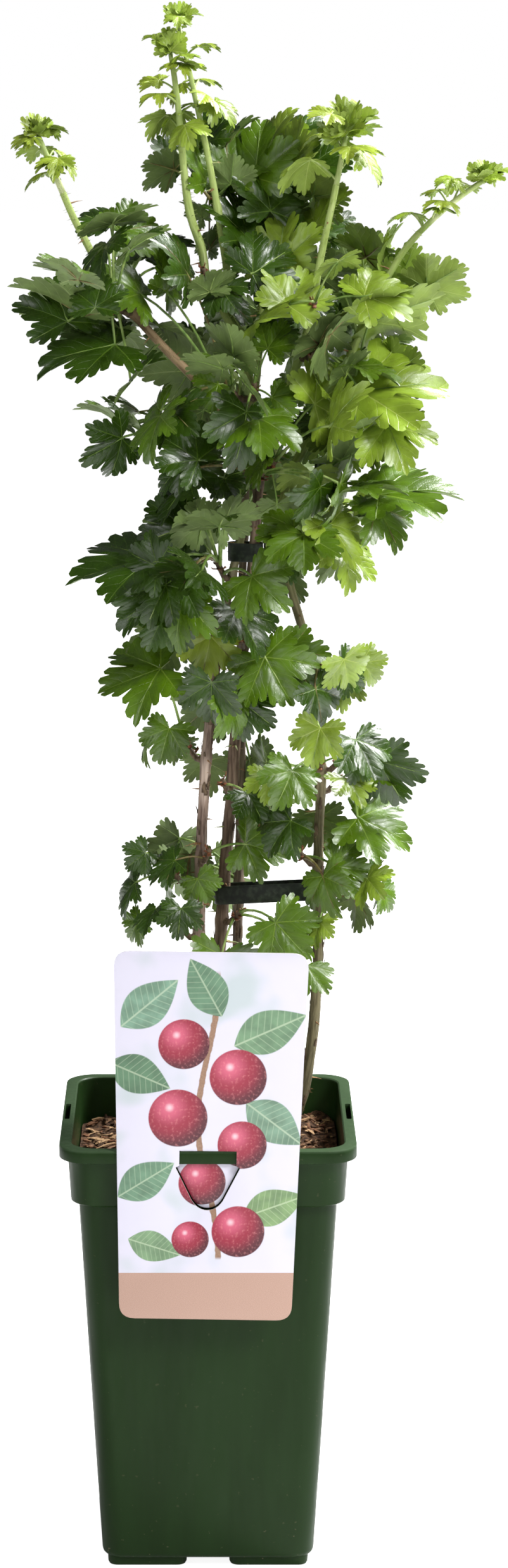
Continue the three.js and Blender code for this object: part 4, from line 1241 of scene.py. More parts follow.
def add_spur(twigs, mass, roll):
    """A woody spur from inside its limb, with dry bud scales round its tip."""
    elbow, tip = mass["elbow"], mass["spur_tip"]
    points = [mass["middle"], mass["foot"], elbow, mix(elbow, tip, 0.5), tip]
    twigs.tube(points, SPUR_RADII, 8, SPUR_BARK)
    ahead = unit(tip - elbow)
    for i in range(BUD_SCALES):
        bearing = GOLDEN_TURN * i + roll(-20, 20)
        side = unit(np.cross(ahead, heading(bearing, 20)))
        foot = mix(elbow, tip, roll(0.25, 1.0)) + side * 0.9
        size = roll(2.2, 4.2)
        end = foot + (ahead * roll(0.3, 0.9) + side * roll(0.5, 0.9)) * size
        middle = mix(foot, end, 0.5) + side * 0.25 * size
        twigs.tube([foot, middle, end], SCALE_RADII, 6, BUD_SCALE, SCALE_FLAT)


def add_thorns(twigs):
    """Spines at the nodes of every limb, and fine bristles, most of them on the shoots."""
    for number, (name, limb) in enumerate(LIMBS.items()):
        roll = dice(500 + number, 3, 1)
        is_green = "parent" in limb
        top = limb.get("end", limb["high"])
        height = limb["low"] + (10 if is_green else 30)
        turn = roll(0, 360)
        while height < top - 4:
            middle, radius, ahead = on_limb(name, height)
            for spread in (-26, 0, 26) if roll(0, 1) < 0.4 else (0,):
                out = square_to(heading(turn + spread + roll(-8, 8), 0), ahead)
                finish = SPINE_TAN if roll(0, 1) < 0.75 else BRISTLE_GREEN
                foot, length = middle + out * radius, roll(3.5, 8.5)
                half = foot + out * 0.5 * length - UP * 0.04 * length
                tip = foot + out * length - UP * 0.14 * length
                points = [foot - out, foot + out * 0.4, half, tip]
                twigs.tube(points, np.array(SPINE_RADII) * SPINE_THICK, 5, finish)
            turn += GOLDEN_TURN
            height += roll(11, 19)
        for _ in range(int((top - limb["low"]) * (1.5 if is_green else 0.45))):
            at = roll(limb["low"] + 3, top)
            middle, radius, ahead = on_limb(name, at)
            level = heading(roll(0, 360), roll(-20, 30))
            out = unit(level - 0.8 * ahead * level.dot(ahead))
            foot = middle + square_to(level, ahead) * radius * 0.96
            finish = BRISTLE_GREEN if is_green or at > 560 else SPINE_TAN
            twigs.tube([foot, foot + out * roll(1.0, 2.6)], BRISTLE_RADII, 3, finish)


def add_flakes(twigs):
    """Thin curls of old bark that peel from the woody stems."""
    stems = [name for name, limb in LIMBS.items() if "parent" not in limb]
    for number, name in enumerate(stems):
        roll = dice(700 + number, 2, 1)
        for _ in range(FLAKES):
            middle, radius, ahead = on_limb(name, roll(214, 480))
            out = square_to(heading(roll(0, 360), 0), ahead)
            length, lift = roll(3, 9), roll(0.3, 1.4)
            foot = middle + out * radius
            points = [foot + ahead * length * t + out * (0.1 + lift * t * t) for t in (0, 0.35, 0.7, 1)]
            radii = np.array(FLAKE_RADII) * roll(0.6, 1.3)
            twigs.tube(points, radii, 6, SPUR_BARK, FLAKE_FLAT, np.cross(ahead, out))


def grow_masses(crown):
    """Every mass grown again by its rule, opened up and filled with finer leaves."""
    masses = [mass_of(limb, row) for limb, rows in MASSES.items() for row in rows]
    for mass in masses:
        tries = (
            standing_leaf(mass["node"], (mass_leaf(mass, n, a) for a in range(TRIES)))
            for n in range(mass["leaves"])
        )
        roll = dice(mass["seed"] + 53, 1, 1)
        grown = [loosened(leaf, roll) for leaf in tries if leaf and not is_thinned(leaf, roll)]
        mass["grown"] = [part for leaf in grown for part in spray_of(leaf, crown, roll)]
        mass["grown"] += [outer_leaf(row, mass) for row in OUTER_LEAVES.get(mass["name"], ())]
    for mass in masses:
        mass["grown"] += finer_leaves(mass, crown, int(ramp(FINER, mass["centre"][2])))
    return masses


def make_foliage(leaf_finishes, twig_finishes):
    """The blades, and the spurs and stalks that bear them, in pieces by zone."""
    masses = grow_masses(Crown())
    templates = [blade_template(LOBED_TEETH, LOBED_BAYS, seed) for seed in (3, 8, 21, 34, 55, 89)]
    for zone, limbs in ZONES.items():
        blades, twigs = Gather(), Gather()
        here = [mass for mass in masses if mass["limb"] in limbs]
        for mass in here:
            roll = dice(mass["seed"] + 97, 1, 1)
            add_spur(twigs, mass, roll)
            for leaf in mass["grown"]:
                faces = facing_pair(leaf.get("tone") or tone_of(leaf["base"], roll))
                template = templates[int(roll(0, len(templates)))]
                add_blade(blades, leaf, template, faces, roll)
                stalk = GREEN_STALK if roll(0, 1) < 0.8 else BLUSHED_STALK
                add_petiole(twigs, leaf, stalk, 0.75 if leaf["length"] < SHORT_STALK else 1.0)
        piece("foliage_" + zone, blades.mesh(leaf_finishes), "leaf", *[m["node"] for m in here])
        piece("twigs_" + zone, twigs.mesh(twig_finishes), "bark")


def curled(leaf, is_young, roll):
    """A tip's leaf, crumpled, and drooping where it is past its first days."""
    length = leaf["length"]
    if is_young:
        return dict(leaf, crumple=roll(1.6, 2.6), fold=roll(0.2, 0.7), length=roll(0.8, 1.15) * length)
    level = unit(leaf["rib"] * (1, 1, 0))
    rib = swung(level, UP, roll(-26, 16))
    lean = UP + np.cross(UP, level) * roll(-0.45, 0.45)
    fold, droop = roll(-0.2, 0.15), roll(0.1, 0.35)
    return posed(leaf, rib, lean, crumple=1.5, length=0.8 * length, fold=fold, droop=droop)


def fanned(leaf, roll):
    """A young leaf that stands open like a fan, with its face to the front."""
    rib = heading(roll(30, 150), roll(52, 78))
    made = posed(leaf, rib, heading(-90 + roll(-25, 35), 25), crumple=roll(1.3, 1.9))
    made["base"] = mix(leaf["root"], leaf["base"], 0.4) - (0, 1.5, 0)
    made["length"] = roll(1.05, 1.3) * leaf["length"]
    return made | {"fold": roll(0.1, 0.35), "droop": roll(-0.1, 0.15)}


def folded(leaf, size, roll):
    """A smaller leaf, still folded, in the heart of its tuft."""
    inner = dict(leaf, length=size * leaf["length"], fold=roll(0.3, 0.8), droop=roll(-0.4, 0.2))
    inner["base"] = leaf["root"] + UP * roll(0.05, 0.35) * leaf["length"]
    inner["bend"] = mix(leaf["root"], inner["base"], 0.5)
    rib = heading(roll(0, 360), roll(15, 75))
    side = unit(np.cross(UP, rib))
    return inner | {"rib": rib, "across": side, "upper": np.cross(rib, side)}


def opposite(leaf, ahead, roll):
    """The same leaf on the other side of its shoot and a little higher."""
    turn = np.array(Matrix.Rotation(roll(140, 220) * DEG, 3, "Z"))
    root = leaf["root"] + ahead * roll(4, 9)
    made = dict(leaf, root=root, length=roll(0.8, 1.0) * leaf["length"])
    made |= {key: root + turn @ (leaf[key] - leaf["root"]) for key in ("base", "bend")}
    return made | {key: turn @ leaf[key] for key in ("rib", "across", "upper")}


def tip_tone(is_young, roll):
    """The tone of a tip's leaf."""
    if roll(0, 1) < (0.8 if is_young else 0.3):
        return "young"
    return "lime" if roll(0, 1) < 0.7 else "bright"


FANS = 2  # young leaves of each tuft that stand open
FOLDED_SIZES = (0.78, 0.6)


def add_tip(blades, twigs, tip, small, young):
    """A shoot's last stretch with its small leaves in pairs and its tuft of young ones."""
    name, shoot, few, many, _, _, seed = tip
    roll = dice(seed + 41, 2, 1)
    limb = LIMBS[shoot]
    places = [on_limb(shoot, mix(limb["end"], limb["high"], t)) for t in (0, 0.25, 0.5, 0.75, 1)]
    twigs.tube([p[0] for p in places], [1.2 * p[1] for p in places], 10, TIP_GREEN)
    for number in range(few + many):
        leaf = standing_leaf(name, (tip_leaf(tip, number, a) for a in range(TRIES)))
        if not leaf:
            continue
        is_young, is_fan = number >= few, few <= number < few + FANS
        leaf = fanned(leaf, roll) if is_fan else curled(leaf, is_young, roll)
        faces = facing_pair(tip_tone(is_young, roll))
        kinds = young if is_young else small
        template = kinds[int(roll(0, len(kinds)))]
        pair = [leaf]
        if not is_young:
            pair.append(opposite(leaf, on_limb(shoot, leaf["root"][2])[2], roll))
        for one in pair:
            add_blade(blades, one, template, faces, roll)
            add_petiole(twigs, one, TIP_GREEN, 0.6 if is_young else 0.75)
        if is_young and not is_fan:
            for size in FOLDED_SIZES:
                inner = folded(leaf, size, roll)
                add_blade(blades, inner, young[int(roll(0, len(young)))], faces, roll)


def make_tips(leaf_finishes, twig_finishes):
    """The shoots' tips, the spines and bristles of all limbs, and the curls of bark."""
    blades, twigs, flakes = Gather(), Gather(), Gather()
    young = [blade_template(YOUNG_TEETH, YOUNG_BAYS, seed) for seed in (4, 9, 16)]
    small = [blade_template(LOBED_TEETH, LOBED_BAYS, seed) for seed in (6, 19)]
    for tip in TIPS:
        add_tip(blades, twigs, tip, small, young)
    piece("young_foliage", blades.mesh(leaf_finishes), "young_leaf", *[t[0] for t in TIPS])
    add_thorns(twigs)
    piece("shoot_tips", twigs.mesh(twig_finishes), "green_shoot")
    add_flakes(flakes)
    piece("bark_curls", flakes.mesh(twig_finishes), "bark")


LIMB_STEP = 1.2
SWELLING_REACH = 3.2
SWELLING = 0.55  # how far a limb swells where a spur or shoot leaves it


def round_course(places):
    """A closed round tube through places on a limb."""
    line = bpy.data.curves.new("course", "CURVE")
    line.dimensions = "3D"
    line.bevel_depth = MM
    line.bevel_resolution = 8
    line.use_fill_caps = True
    line.twist_mode = "MINIMUM"
    spline = line.splines.new("POLY")
    spline.points.add(len(places) - 1)
    for point, (middle, radius, _) in zip(spline.points, places):
        point.co = (*(middle * MM), 1)
        point.radius = radius
    return baked(in_scene("course", line))


def limb_piece(name, limb, material, swellings):
    """A limb with its bark's relief: long ridges, scars and swollen nodes."""
    top = limb.get("end", limb["high"])
    count = int((top - limb["low"]) / LIMB_STEP)
    places = [on_limb(name, mix(limb["low"], top, i / count)) for i in range(count + 1)]
    mesh = round_course(places)
    middles = np.array([p[0] for p in places])
    steps = np.linalg.norm(np.diff(middles, axis=0), axis=1)
    run = np.concatenate([[0], np.cumsum(steps)])
    corners = np.zeros(3 * len(mesh.vertices))
    mesh.vertices.foreach_get("co", corners)
    corners = corners.reshape(-1, 3) / MM
    nearest = nearest_of(middles)
    rough, full = (0.1, 0.3) if "parent" in limb else (0.34, 0.0)
    grain = np.zeros_like(corners)
    for i, corner in enumerate(corners):
        at = nearest.find(Vector(corner))[1]
        away = corner - middles[at]
        radius = max(np.linalg.norm(away), 1e-6)
        out = away / radius
        grain[i] = (*(away[:2]), run[at])
        ridge = noise.fractal(Vector((out[0] * 3.1, out[1] * 3.1, run[at] / 16)), 1.0, 2.0, 4)
        ring = 0.25 * max(0.0, noise.noise(Vector((7.3, 1.1, run[at] / 5))) - 0.25)
        nodes = (math.exp(-((middles[at][2] - h) / SWELLING_REACH) ** 2) for h in swellings)
        swell = sum(SWELLING * node for node in nodes)
        corners[i] = middles[at] + out * (radius + full + rough * ridge + ring + swell)
    mesh.vertices.foreach_set("co", (corners * MM).ravel())
    layer = mesh.attributes.new("grain", "FLOAT_VECTOR", "POINT")
    layer.data.foreach_set("vector", (grain * MM).ravel())
    smooth(mesh)
    mesh.materials.append(material)
    mesh.update()
    slot = "green_shoot" if "parent" in limb else "bark"
    piece(name + "_wood", mesh, slot, name)


# Barks: the finish's name, its dark, mid and pale tones, where the pale patches begin, and the
# green of younger wood with the heights in metres that it sets in between.
GREEN_WOOD = (140, 156, 84)
BARKS = {
    "stem_left": (
        "bark_silver_brown", (98, 80, 70), (148, 126, 112), (192, 172, 156), 0.5,
        ((120, 128, 76), 0.50, 0.56),
    ),
    "stem_centre": (
        "bark_dark_brown", (78, 62, 50), (118, 98, 82), (166, 144, 122), 0.54,
        (GREEN_WOOD, 0.575, 0.64),
    ),
    "stem_right": (
        "bark_olive_brown", (82, 76, 54), (118, 110, 80), (160, 146, 116), 0.54,
        (GREEN_WOOD, 0.50, 0.57),
    ),
    "stem_back": (
        "bark_grey_brown", (78, 66, 54), (112, 98, 82), (158, 142, 122), 0.54,
        (GREEN_WOOD, 0.56, 0.66),
    ),
    "shoot_left": (
        "young_brown_bark", (112, 92, 66), (158, 134, 100), (190, 168, 136), 0.54,
        ((168, 186, 108), 0.655, 0.672),
    ),
}
GREEN_SKIN = ("green_shoot_skin", (150, 168, 90), (174, 192, 116), (206, 214, 158), 0.56)


def make_limbs():
    """All stems and shoots, swollen where a spur or a shoot leaves them."""
    green_skin = bark_finish(*GREEN_SKIN)
    for name, limb in LIMBS.items():
        bark = bark_finish(*BARKS[name]) if name in BARKS else green_skin
        swellings = [row[1] for row in MASSES.get(name, ())]
        swellings += [
            shoot["height"] for shoot in LIMBS.values()
            if shoot.get("parent") == name and "height" in shoot
        ]
        limb_piece(name, limb, bark, swellings)


# ---- The pot ----
SHARP_ANGLE = 35
ORIGIN = (0, 0, 0)


def of_kind(made, kind):
    """The corners, edges or faces that a step has made."""
    return [part for part in made["geom"] if isinstance(part, kind)]


def soften(bm, edges, width, steps):
    """Rounds edges off."""
    bmesh.ops.bevel(
        bm, geom=edges, offset=width, affect="EDGES", segments=steps, profile=0.5, material=-1
    )


def box(bm, size, middle):
    """A plain block at its place, as its corners."""
    corners = bmesh.ops.create_cube(bm, size=1)["verts"]
    bmesh.ops.scale(bm, verts=corners, vec=size)
    bmesh.ops.translate(bm, verts=corners, vec=middle)
    return corners


def post(bm, width, depth, middle, steps):
    """An upright round post at its place, as its corners."""
    corners = bmesh.ops.create_cone(
        bm, cap_ends=True, segments=steps, radius1=width / 2, radius2=width / 2, depth=depth
    )["verts"]
    bmesh.ops.translate(bm, verts=corners, vec=middle)
    return corners


def square_face(bm, width, corner, height, middle=(0, 0)):
    """A level square face with round corners, the start of a shape that rises from it."""
    before = set(bm.faces)
    made = bmesh.ops.create_grid(bm, x_segments=1, y_segments=1, size=width / 2)
    bmesh.ops.bevel(
        bm, geom=made["verts"], offset=corner, affect="VERTICES", segments=8, profile=0.5, material=-1
    )
    face = next(f for f in bm.faces if f not in before and len(f.verts) > 20)
    bmesh.ops.translate(bm, verts=face.verts, vec=(middle[0], middle[1], height))
    return {"face": face, "width": width, "corner": corner, "middle": middle, "is_foot": True}


def rise(bm, end, width, corner, height):
    """Draws the end face on to a new width, corner and height."""
    made = bmesh.ops.extrude_face_region(bm, geom=[end["face"]])
    face = of_kind(made, bmesh.types.BMFace)[0]
    if not end.get("is_foot"):
        bm.faces.remove(end["face"])
    old_arm = end["width"] / 2 - end["corner"]
    arm = width / 2 - corner
    for v in face.verts:
        x, y = v.co.x - end["middle"][0], v.co.y - end["middle"][1]
        out_x = max(0.0, abs(x) - old_arm) / end["corner"] * corner
        out_y = max(0.0, abs(y) - old_arm) / end["corner"] * corner
        v.co.x = end["middle"][0] + math.copysign(arm + out_x, x)
        v.co.y = end["middle"][1] + math.copysign(arm + out_y, y)
        v.co.z = height
    return {"face": face, "width": width, "corner": corner, "middle": end["middle"]}


def body_width(height):
    """The pot's width at a height of its tapered body."""
    return mix(BASE_WIDTH, BODY_WIDTH, (height - FOOT_HEIGHT) / (BODY_TOP - FOOT_HEIGHT))


def mesh_from(bm, angle=SHARP_ANGLE):
    """A bmesh in millimetres as a mesh in metres, smooth but for its sharp edges."""
    bmesh.ops.recalc_face_normals(bm, faces=bm.faces)
    bmesh.ops.scale(bm, vec=(MM, MM, MM), verts=bm.verts)
    mesh = bpy.data.meshes.new("shape")
    bm.to_mesh(mesh)
    bm.free()
    smooth(mesh)
    mesh.set_sharp_from_angle(angle=angle * DEG)
    return mesh


def cut(mesh, cutters):
    """The mesh with another cut out of it."""
    base, tool = in_scene("base", mesh), in_scene("tool", cutters)
    step = base.modifiers.new("cut", "BOOLEAN")
    step.operation, step.solver, step.object = "DIFFERENCE", "EXACT", tool
    done = baked(base)
    bpy.data.objects.remove(tool)
    done.set_sharp_from_angle(angle=SHARP_ANGLE * DEG)
    return done


def pot_finish():
    """Dark green moulded plastic: satin, with faint flow marks, scuffs and dust near its foot, and a
    painted highlight along the top of its rim.
    """
    made, tree = new_finish("pot_green_plastic")
    place = place_of(tree)
    height = parts_of(tree, place)[2]
    pits, clouds = grouped(tree, GRAIN, {"Vector": place, "Scale": 1400.0})
    flow = cloud(tree, stretch(tree, place, (60, 60, 7)), 1.0, 4.0)
    tone = blend(tree, span(tree, flow, 0.35, 0.65), colour(26, 45, 17), colour(29, 50, 20))
    tone = blend(tree, times(tree, clouds, 0.25), tone, colour(35, 57, 28))
    specks = span(tree, cloud(tree, place, 480.0, 2.0, 0.4), 0.72, 0.76)
    low = span(tree, height, 0.0, 0.03, 0.7, 0.12)
    tone = blend(tree, times(tree, specks, low), tone, colour(120, 112, 88))
    # Painted highlight: the top of the rim is blended paler, standing in for light on its edge.
    painted_rim_highlight = span(tree, height, 0.2268, POT_HEIGHT * MM, 0.0, 0.35)
    tone = blend(tree, painted_rim_highlight, tone, colour(96, 118, 90))
    scratches = cloud(tree, stretch(tree, place, (300, 300, 40), (0.5, 0.2, 0.1)), 1.0, 3.0)
    gloss = span(tree, scratches, 0.3, 0.7, 0.3, 0.46)
    relief = bump(tree, pits, 0.12, 0.06, bump(tree, flow, 0.12, 0.3))
    return finished(made, tone, gloss, relief, specular=0.12)


def add_slot(tools, spin, foot):
    """The rounded block that cuts one slot in the lip, down to its foot."""
    block = bmesh.new()
    top = POT_HEIGHT + LIP_HEIGHT
    box(block, (SLOT_WIDTH, SLOT_LENGTH, top - foot), (SLOT_MIDDLE, 0, (top + foot) / 2))
    upright = [e for e in block.edges if abs(e.verts[0].co.z - e.verts[1].co.z) > 1]
    soften(block, upright, 0.9, 4)
    bmesh.ops.rotate(block, verts=block.verts, matrix=spin, cent=ORIGIN)
    made = bpy.data.meshes.new("slot_block")
    block.to_mesh(made)
    block.free()
    tools.from_mesh(made)


INSIDE = 2 * WALL
LIP_INSIDE = COLLAR_WIDTH - INSIDE
# The pot's outside upwards and then its inside down to the floor: width, corner and height.
POT_PROFILE = (
    (BASE_WIDTH - 5, BASE_CORNER - 2, FOOT_HEIGHT),
    (BASE_WIDTH - 2.6, BASE_CORNER - 1, FOOT_HEIGHT + 0.4),
    (BASE_WIDTH - 0.8, BASE_CORNER - 0.4, FOOT_HEIGHT + 1.5),
    (BASE_WIDTH, BASE_CORNER, FOOT_HEIGHT + 3),
    (body_width(60), BASE_CORNER + 0.6, 60),
    (body_width(120), BASE_CORNER + 1.2, 120),
    (BODY_WIDTH, BASE_CORNER + 2, BODY_TOP),
    (BODY_WIDTH + 1.2, BASE_CORNER + 2, BODY_TOP + 0.7),
    (COLLAR_FOOT_WIDTH - 1.4, RIM_CORNER - 2, COLLAR_FOOT - 0.1),
    (COLLAR_FOOT_WIDTH - 0.3, RIM_CORNER - 2, COLLAR_FOOT + 0.4),
    (COLLAR_FOOT_WIDTH, RIM_CORNER - 2, COLLAR_FOOT + 1.2),
    (COLLAR_WIDTH, RIM_CORNER - 2, LIP_FOOT - 0.6),
    (COLLAR_WIDTH + 0.8, RIM_CORNER - 1.8, LIP_FOOT),
    (RIM_WIDTH - 1.4, RIM_CORNER, LIP_FOOT),
    (RIM_WIDTH - 0.4, RIM_CORNER, LIP_FOOT + 0.25),
    (RIM_WIDTH, RIM_CORNER, LIP_FOOT + 0.8),
    (RIM_WIDTH, RIM_CORNER, POT_HEIGHT - 0.8),
    (RIM_WIDTH - 0.4, RIM_CORNER, POT_HEIGHT - 0.25),
    (RIM_WIDTH - 1.4, RIM_CORNER, POT_HEIGHT),
    (LIP_INSIDE + 1.6, RIM_CORNER - WALL + 0.6, POT_HEIGHT),
    (LIP_INSIDE + 0.3, RIM_CORNER - WALL, POT_HEIGHT - 0.5),
    (LIP_INSIDE, RIM_CORNER - WALL, POT_HEIGHT - 1.2),
    (COLLAR_FOOT_WIDTH - INSIDE, RIM_CORNER - WALL, COLLAR_FOOT + WALL),
    (BODY_WIDTH - INSIDE, BASE_CORNER, BODY_TOP + WALL),
    (body_width(FLOOR) - INSIDE, BASE_CORNER - WALL, FLOOR),
)
FOOT_WIDTH = (BASE_WIDTH - 2 * FOOT_INSET - FOOT_CHANNEL) / 2
FOOT_MIDDLE = (FOOT_CHANNEL + FOOT_WIDTH) / 2
FOOT_PROFILE = (
    (FOOT_WIDTH - 3, FOOT_CORNER - 1.5, 0),
    (FOOT_WIDTH - 1.2, FOOT_CORNER - 0.6, 0.35),
    (FOOT_WIDTH, FOOT_CORNER, 1.5),
    (FOOT_WIDTH + 0.4, FOOT_CORNER, FOOT_HEIGHT + 1),
)
DRAIN_MIDDLE = BASE_WIDTH / 2 - 17
DRAIN_STEPS = 28
PAD_STEPS = 40


def square_body(bm, profile, middle=(0, 0)):
    """A square body with round corners drawn up through its profile."""
    end = square_face(bm, *profile[0], middle)
    for row in profile[1:]:
        end = rise(bm, end, *row)


def pot_walls():
    """The pot's walls, collar, lip and floor."""
    bm = bmesh.new()
    square_body(bm, POT_PROFILE)
    return mesh_from(bm)


def pot_feet():
    """Four square feet and a round pad in the middle."""
    bm = bmesh.new()
    for x, y in ((1, 1), (1, -1), (-1, 1), (-1, -1)):
        square_body(bm, FOOT_PROFILE, (x * FOOT_MIDDLE, y * FOOT_MIDDLE))
    depth = FOOT_HEIGHT + 1
    post(bm, CENTRE_PAD, depth, (0, 0, depth / 2), PAD_STEPS)
    return mesh_from(bm)


def pot_cutters():
    """What is cut from the walls: the lip's four slots and the floor's four drains."""
    tools = bmesh.new()
    for turn in range(4):
        spin = Matrix.Rotation(turn * math.pi / 2, 4, "Z").to_3x3()
        add_slot(tools, spin, LIP_FOOT - LIP_HEIGHT if turn % 2 else LIP_FOOT + SLOT_FLOOR)
        hole = post(tools, DRAIN, 4 * WALL, (DRAIN_MIDDLE, 0, FLOOR), DRAIN_STEPS)
        bmesh.ops.rotate(tools, verts=hole, matrix=spin, cent=ORIGIN)
    return mesh_from(tools)


def make_pot():
    """The pot, one mesh of its walls and feet."""
    shell, feet = pot_walls(), pot_feet()
    mesh = cut(shell, pot_cutters())
    bm = bmesh.new()
    bm.from_mesh(mesh)
    bm.from_mesh(feet)
    bm.to_mesh(mesh)
    bm.free()
    mesh.materials.append(pot_finish())
    piece("pot_shell", mesh, "pot_plastic", "pot")


# ---- The potting mix ----
SOIL_HEAPS = ((46, 36, 26, 8), (-40, 44, 22, 3.5))  # where it is heaped: x, y, spread, height
SOIL_WIDTH = COLLAR_FOOT_WIDTH - 2 * WALL - 2 * GAP - 0.4
SOIL_CORNER = RIM_CORNER - WALL - GAP
SOIL_ARM = SOIL_WIDTH / 2 - SOIL_CORNER
SOIL_STEPS = 96
SOIL_SHARP_ANGLE = 60
CHIPS = 1700
CHIP_FIELD = 65
CHIP_EDGE = 66.4
CHIP_LEAST = 1
CHIP_SHARP_ANGLE = 40
CHIP_TONES = {
    "chip_dark": ((54, 38, 28), (92, 68, 50)),
    "chip_brown": ((90, 66, 48), (134, 102, 76)),
    "chip_tan": ((138, 108, 80), (190, 156, 118)),
    "chip_red": ((88, 58, 42), (130, 92, 66)),
}


def soil_height(x, y):
    """The height of the mix, level where the stems stand, with lumps, waves and heaps."""
    away = clamp((math.hypot(x, y) - SOIL_FLAT) / 12)
    waves = math.sin(x / 9 + 1.2) * math.cos(y / 11 - 0.6) + 0.9 * x / RIM_WIDTH
    lumps = 1.9 * noise.fractal(Vector((x / 13, y / 13, 3.3)), 1.0, 2.0, 4)
    for middle_x, middle_y, wide, high in SOIL_HEAPS:
        lumps += high * math.exp(-((x - middle_x) ** 2 + (y - middle_y) ** 2) / wide**2)
    return max(SOIL_LEVEL + away * SOIL_RELIEF * waves + lumps, COLLAR_FOOT + 3.5)


def soil_finish():
    """Dark moist crumbs."""
    made, tree = new_finish("mix_dark_crumb")
    place = place_of(tree)
    crumbs = span(tree, cloud(tree, place, 420.0, 5.0, 0.7), 0.36, 0.62)
    tone = blend(tree, crumbs, colour(46, 32, 24), colour(98, 72, 52))
    relief = bump(tree, cloud(tree, place, 520.0, 5.0, 0.7), 0.9, 0.8)
    return finished(made, tone, 0.9, relief, specular=0.2)


def make_soil():
    """The bed of potting mix, which fills the pot down to its collar."""
    bm = bmesh.new()
    bmesh.ops.create_grid(bm, x_segments=SOIL_STEPS, y_segments=SOIL_STEPS, size=1)
    for v in bm.verts:
        ring = max(abs(v.co.x), abs(v.co.y), 1e-9)
        x, y = v.co.x / ring * SOIL_WIDTH / 2, v.co.y / ring * SOIL_WIDTH / 2
        over_x, over_y = abs(x) - SOIL_ARM, abs(y) - SOIL_ARM
        if over_x > 0 and over_y > 0:
            share = SOIL_CORNER / math.hypot(over_x, over_y)
            x = math.copysign(SOIL_ARM + over_x * share, x)
            y = math.copysign(SOIL_ARM + over_y * share, y)
        v.co = (x * ring, y * ring, soil_height(x * ring, y * ring))
    drawn = bmesh.ops.extrude_edge_only(bm, edges=[e for e in bm.edges if e.is_boundary])
    for v in of_kind(drawn, bmesh.types.BMVert):
        v.co.z = COLLAR_FOOT + 2.2
    bmesh.ops.contextual_create(bm, geom=[e for e in bm.edges if e.is_boundary])
    mesh = mesh_from(bm, SOIL_SHARP_ANGLE)
    mesh.materials.append(soil_finish())
    piece("soil_bed", mesh, "potting_mix", "soil")


def make_chips():
    """Loose chips of bark and fibres that lie on the mix."""
    chips = Gather()
    roll = dice(911, 1, 1)
    for _ in range(CHIPS):
        x, y = roll(-CHIP_FIELD, CHIP_FIELD), roll(-CHIP_FIELD, CHIP_FIELD)
        over_x, over_y = abs(x) - SOIL_ARM, abs(y) - SOIL_ARM
        if over_x > 0 and over_y > 0 and math.hypot(over_x, over_y) > SOIL_CORNER - 3:
            continue
        length = roll(1.2, 3.6) if roll(0, 1) < 0.8 else roll(3.6, 6.5)
        width = roll(0.5, 1.5)
        lie = heading(roll(0, 360), roll(-22, 22))
        reach = min(length, CHIP_EDGE - max(abs(x), abs(y)))
        if reach < CHIP_LEAST:
            continue
        middle = np.array([x, y, soil_height(x, y) + roll(0.0, 1.4)])
        bend = UP * roll(-0.4, 0.6)
        flat = roll(0.3, 0.7)
        radii = np.array([roll(0.3, 0.9), 1.0, roll(0.2, 0.8)]) * width
        points = [middle - lie * reach, middle + bend, middle + lie * reach]
        chips.tube(points, radii, 5, int(roll(0, len(CHIP_TONES))), flat)
    mesh = chips.mesh([
        dry_finish(name, light, dark, 560.0, 0.6, 0.85, 0.4, 0.2)
        for name, (dark, light) in CHIP_TONES.items()
    ])
    mesh.set_sharp_from_angle(angle=CHIP_SHARP_ANGLE * DEG)
    piece("soil_chips", mesh, "potting_mix")


# ---- The label ----
def berry_group():
    """A round red berry printed over a ground: its edge, shade, gleam and faint meridians."""
    tree, given, out = new_group(
        "printed berry",
        [
            ("Place", "v", None), ("Centre", "v", ORIGIN), ("Radius", "f", 12.0),
            ("Ground", "c", None),
        ],
        [("Colour", "c")],
    )
    place, centre, radius, ground = given[:4]
    local = vector_calc(tree, "SUBTRACT", place, centre)
    links = {0: local, "Scale": calc(tree, "DIVIDE", 1.0, radius)}
    small = put(tree, "ShaderNodeVectorMath", links, operation="SCALE").outputs[0]
    gleam = vector_calc(tree, "DISTANCE", small, (-0.28, 0.0, 0.36))
    body = blend(tree, span(tree, gleam, 0.1, 0.75), colour(208, 92, 120), colour(150, 26, 54))
    body = blend(tree, span(tree, gleam, 0.7, 1.35), body, colour(76, 14, 30))
    specks = cloud(tree, small, 9.0, 3.0)
    body = blend(tree, span(tree, specks, 0.5, 0.75, 0.0, 0.35), body, colour(236, 150, 150))
    body = blend(tree, span(tree, gleam, 0.0, 0.2, 0.7, 0.0), body, colour(250, 226, 232))
    mask = span(tree, vector_calc(tree, "LENGTH", small), 0.965, 1.0, 1.0, 0.0)
    tree.links.new(blend(tree, mask, ground, body), out.inputs[0])
    return tree


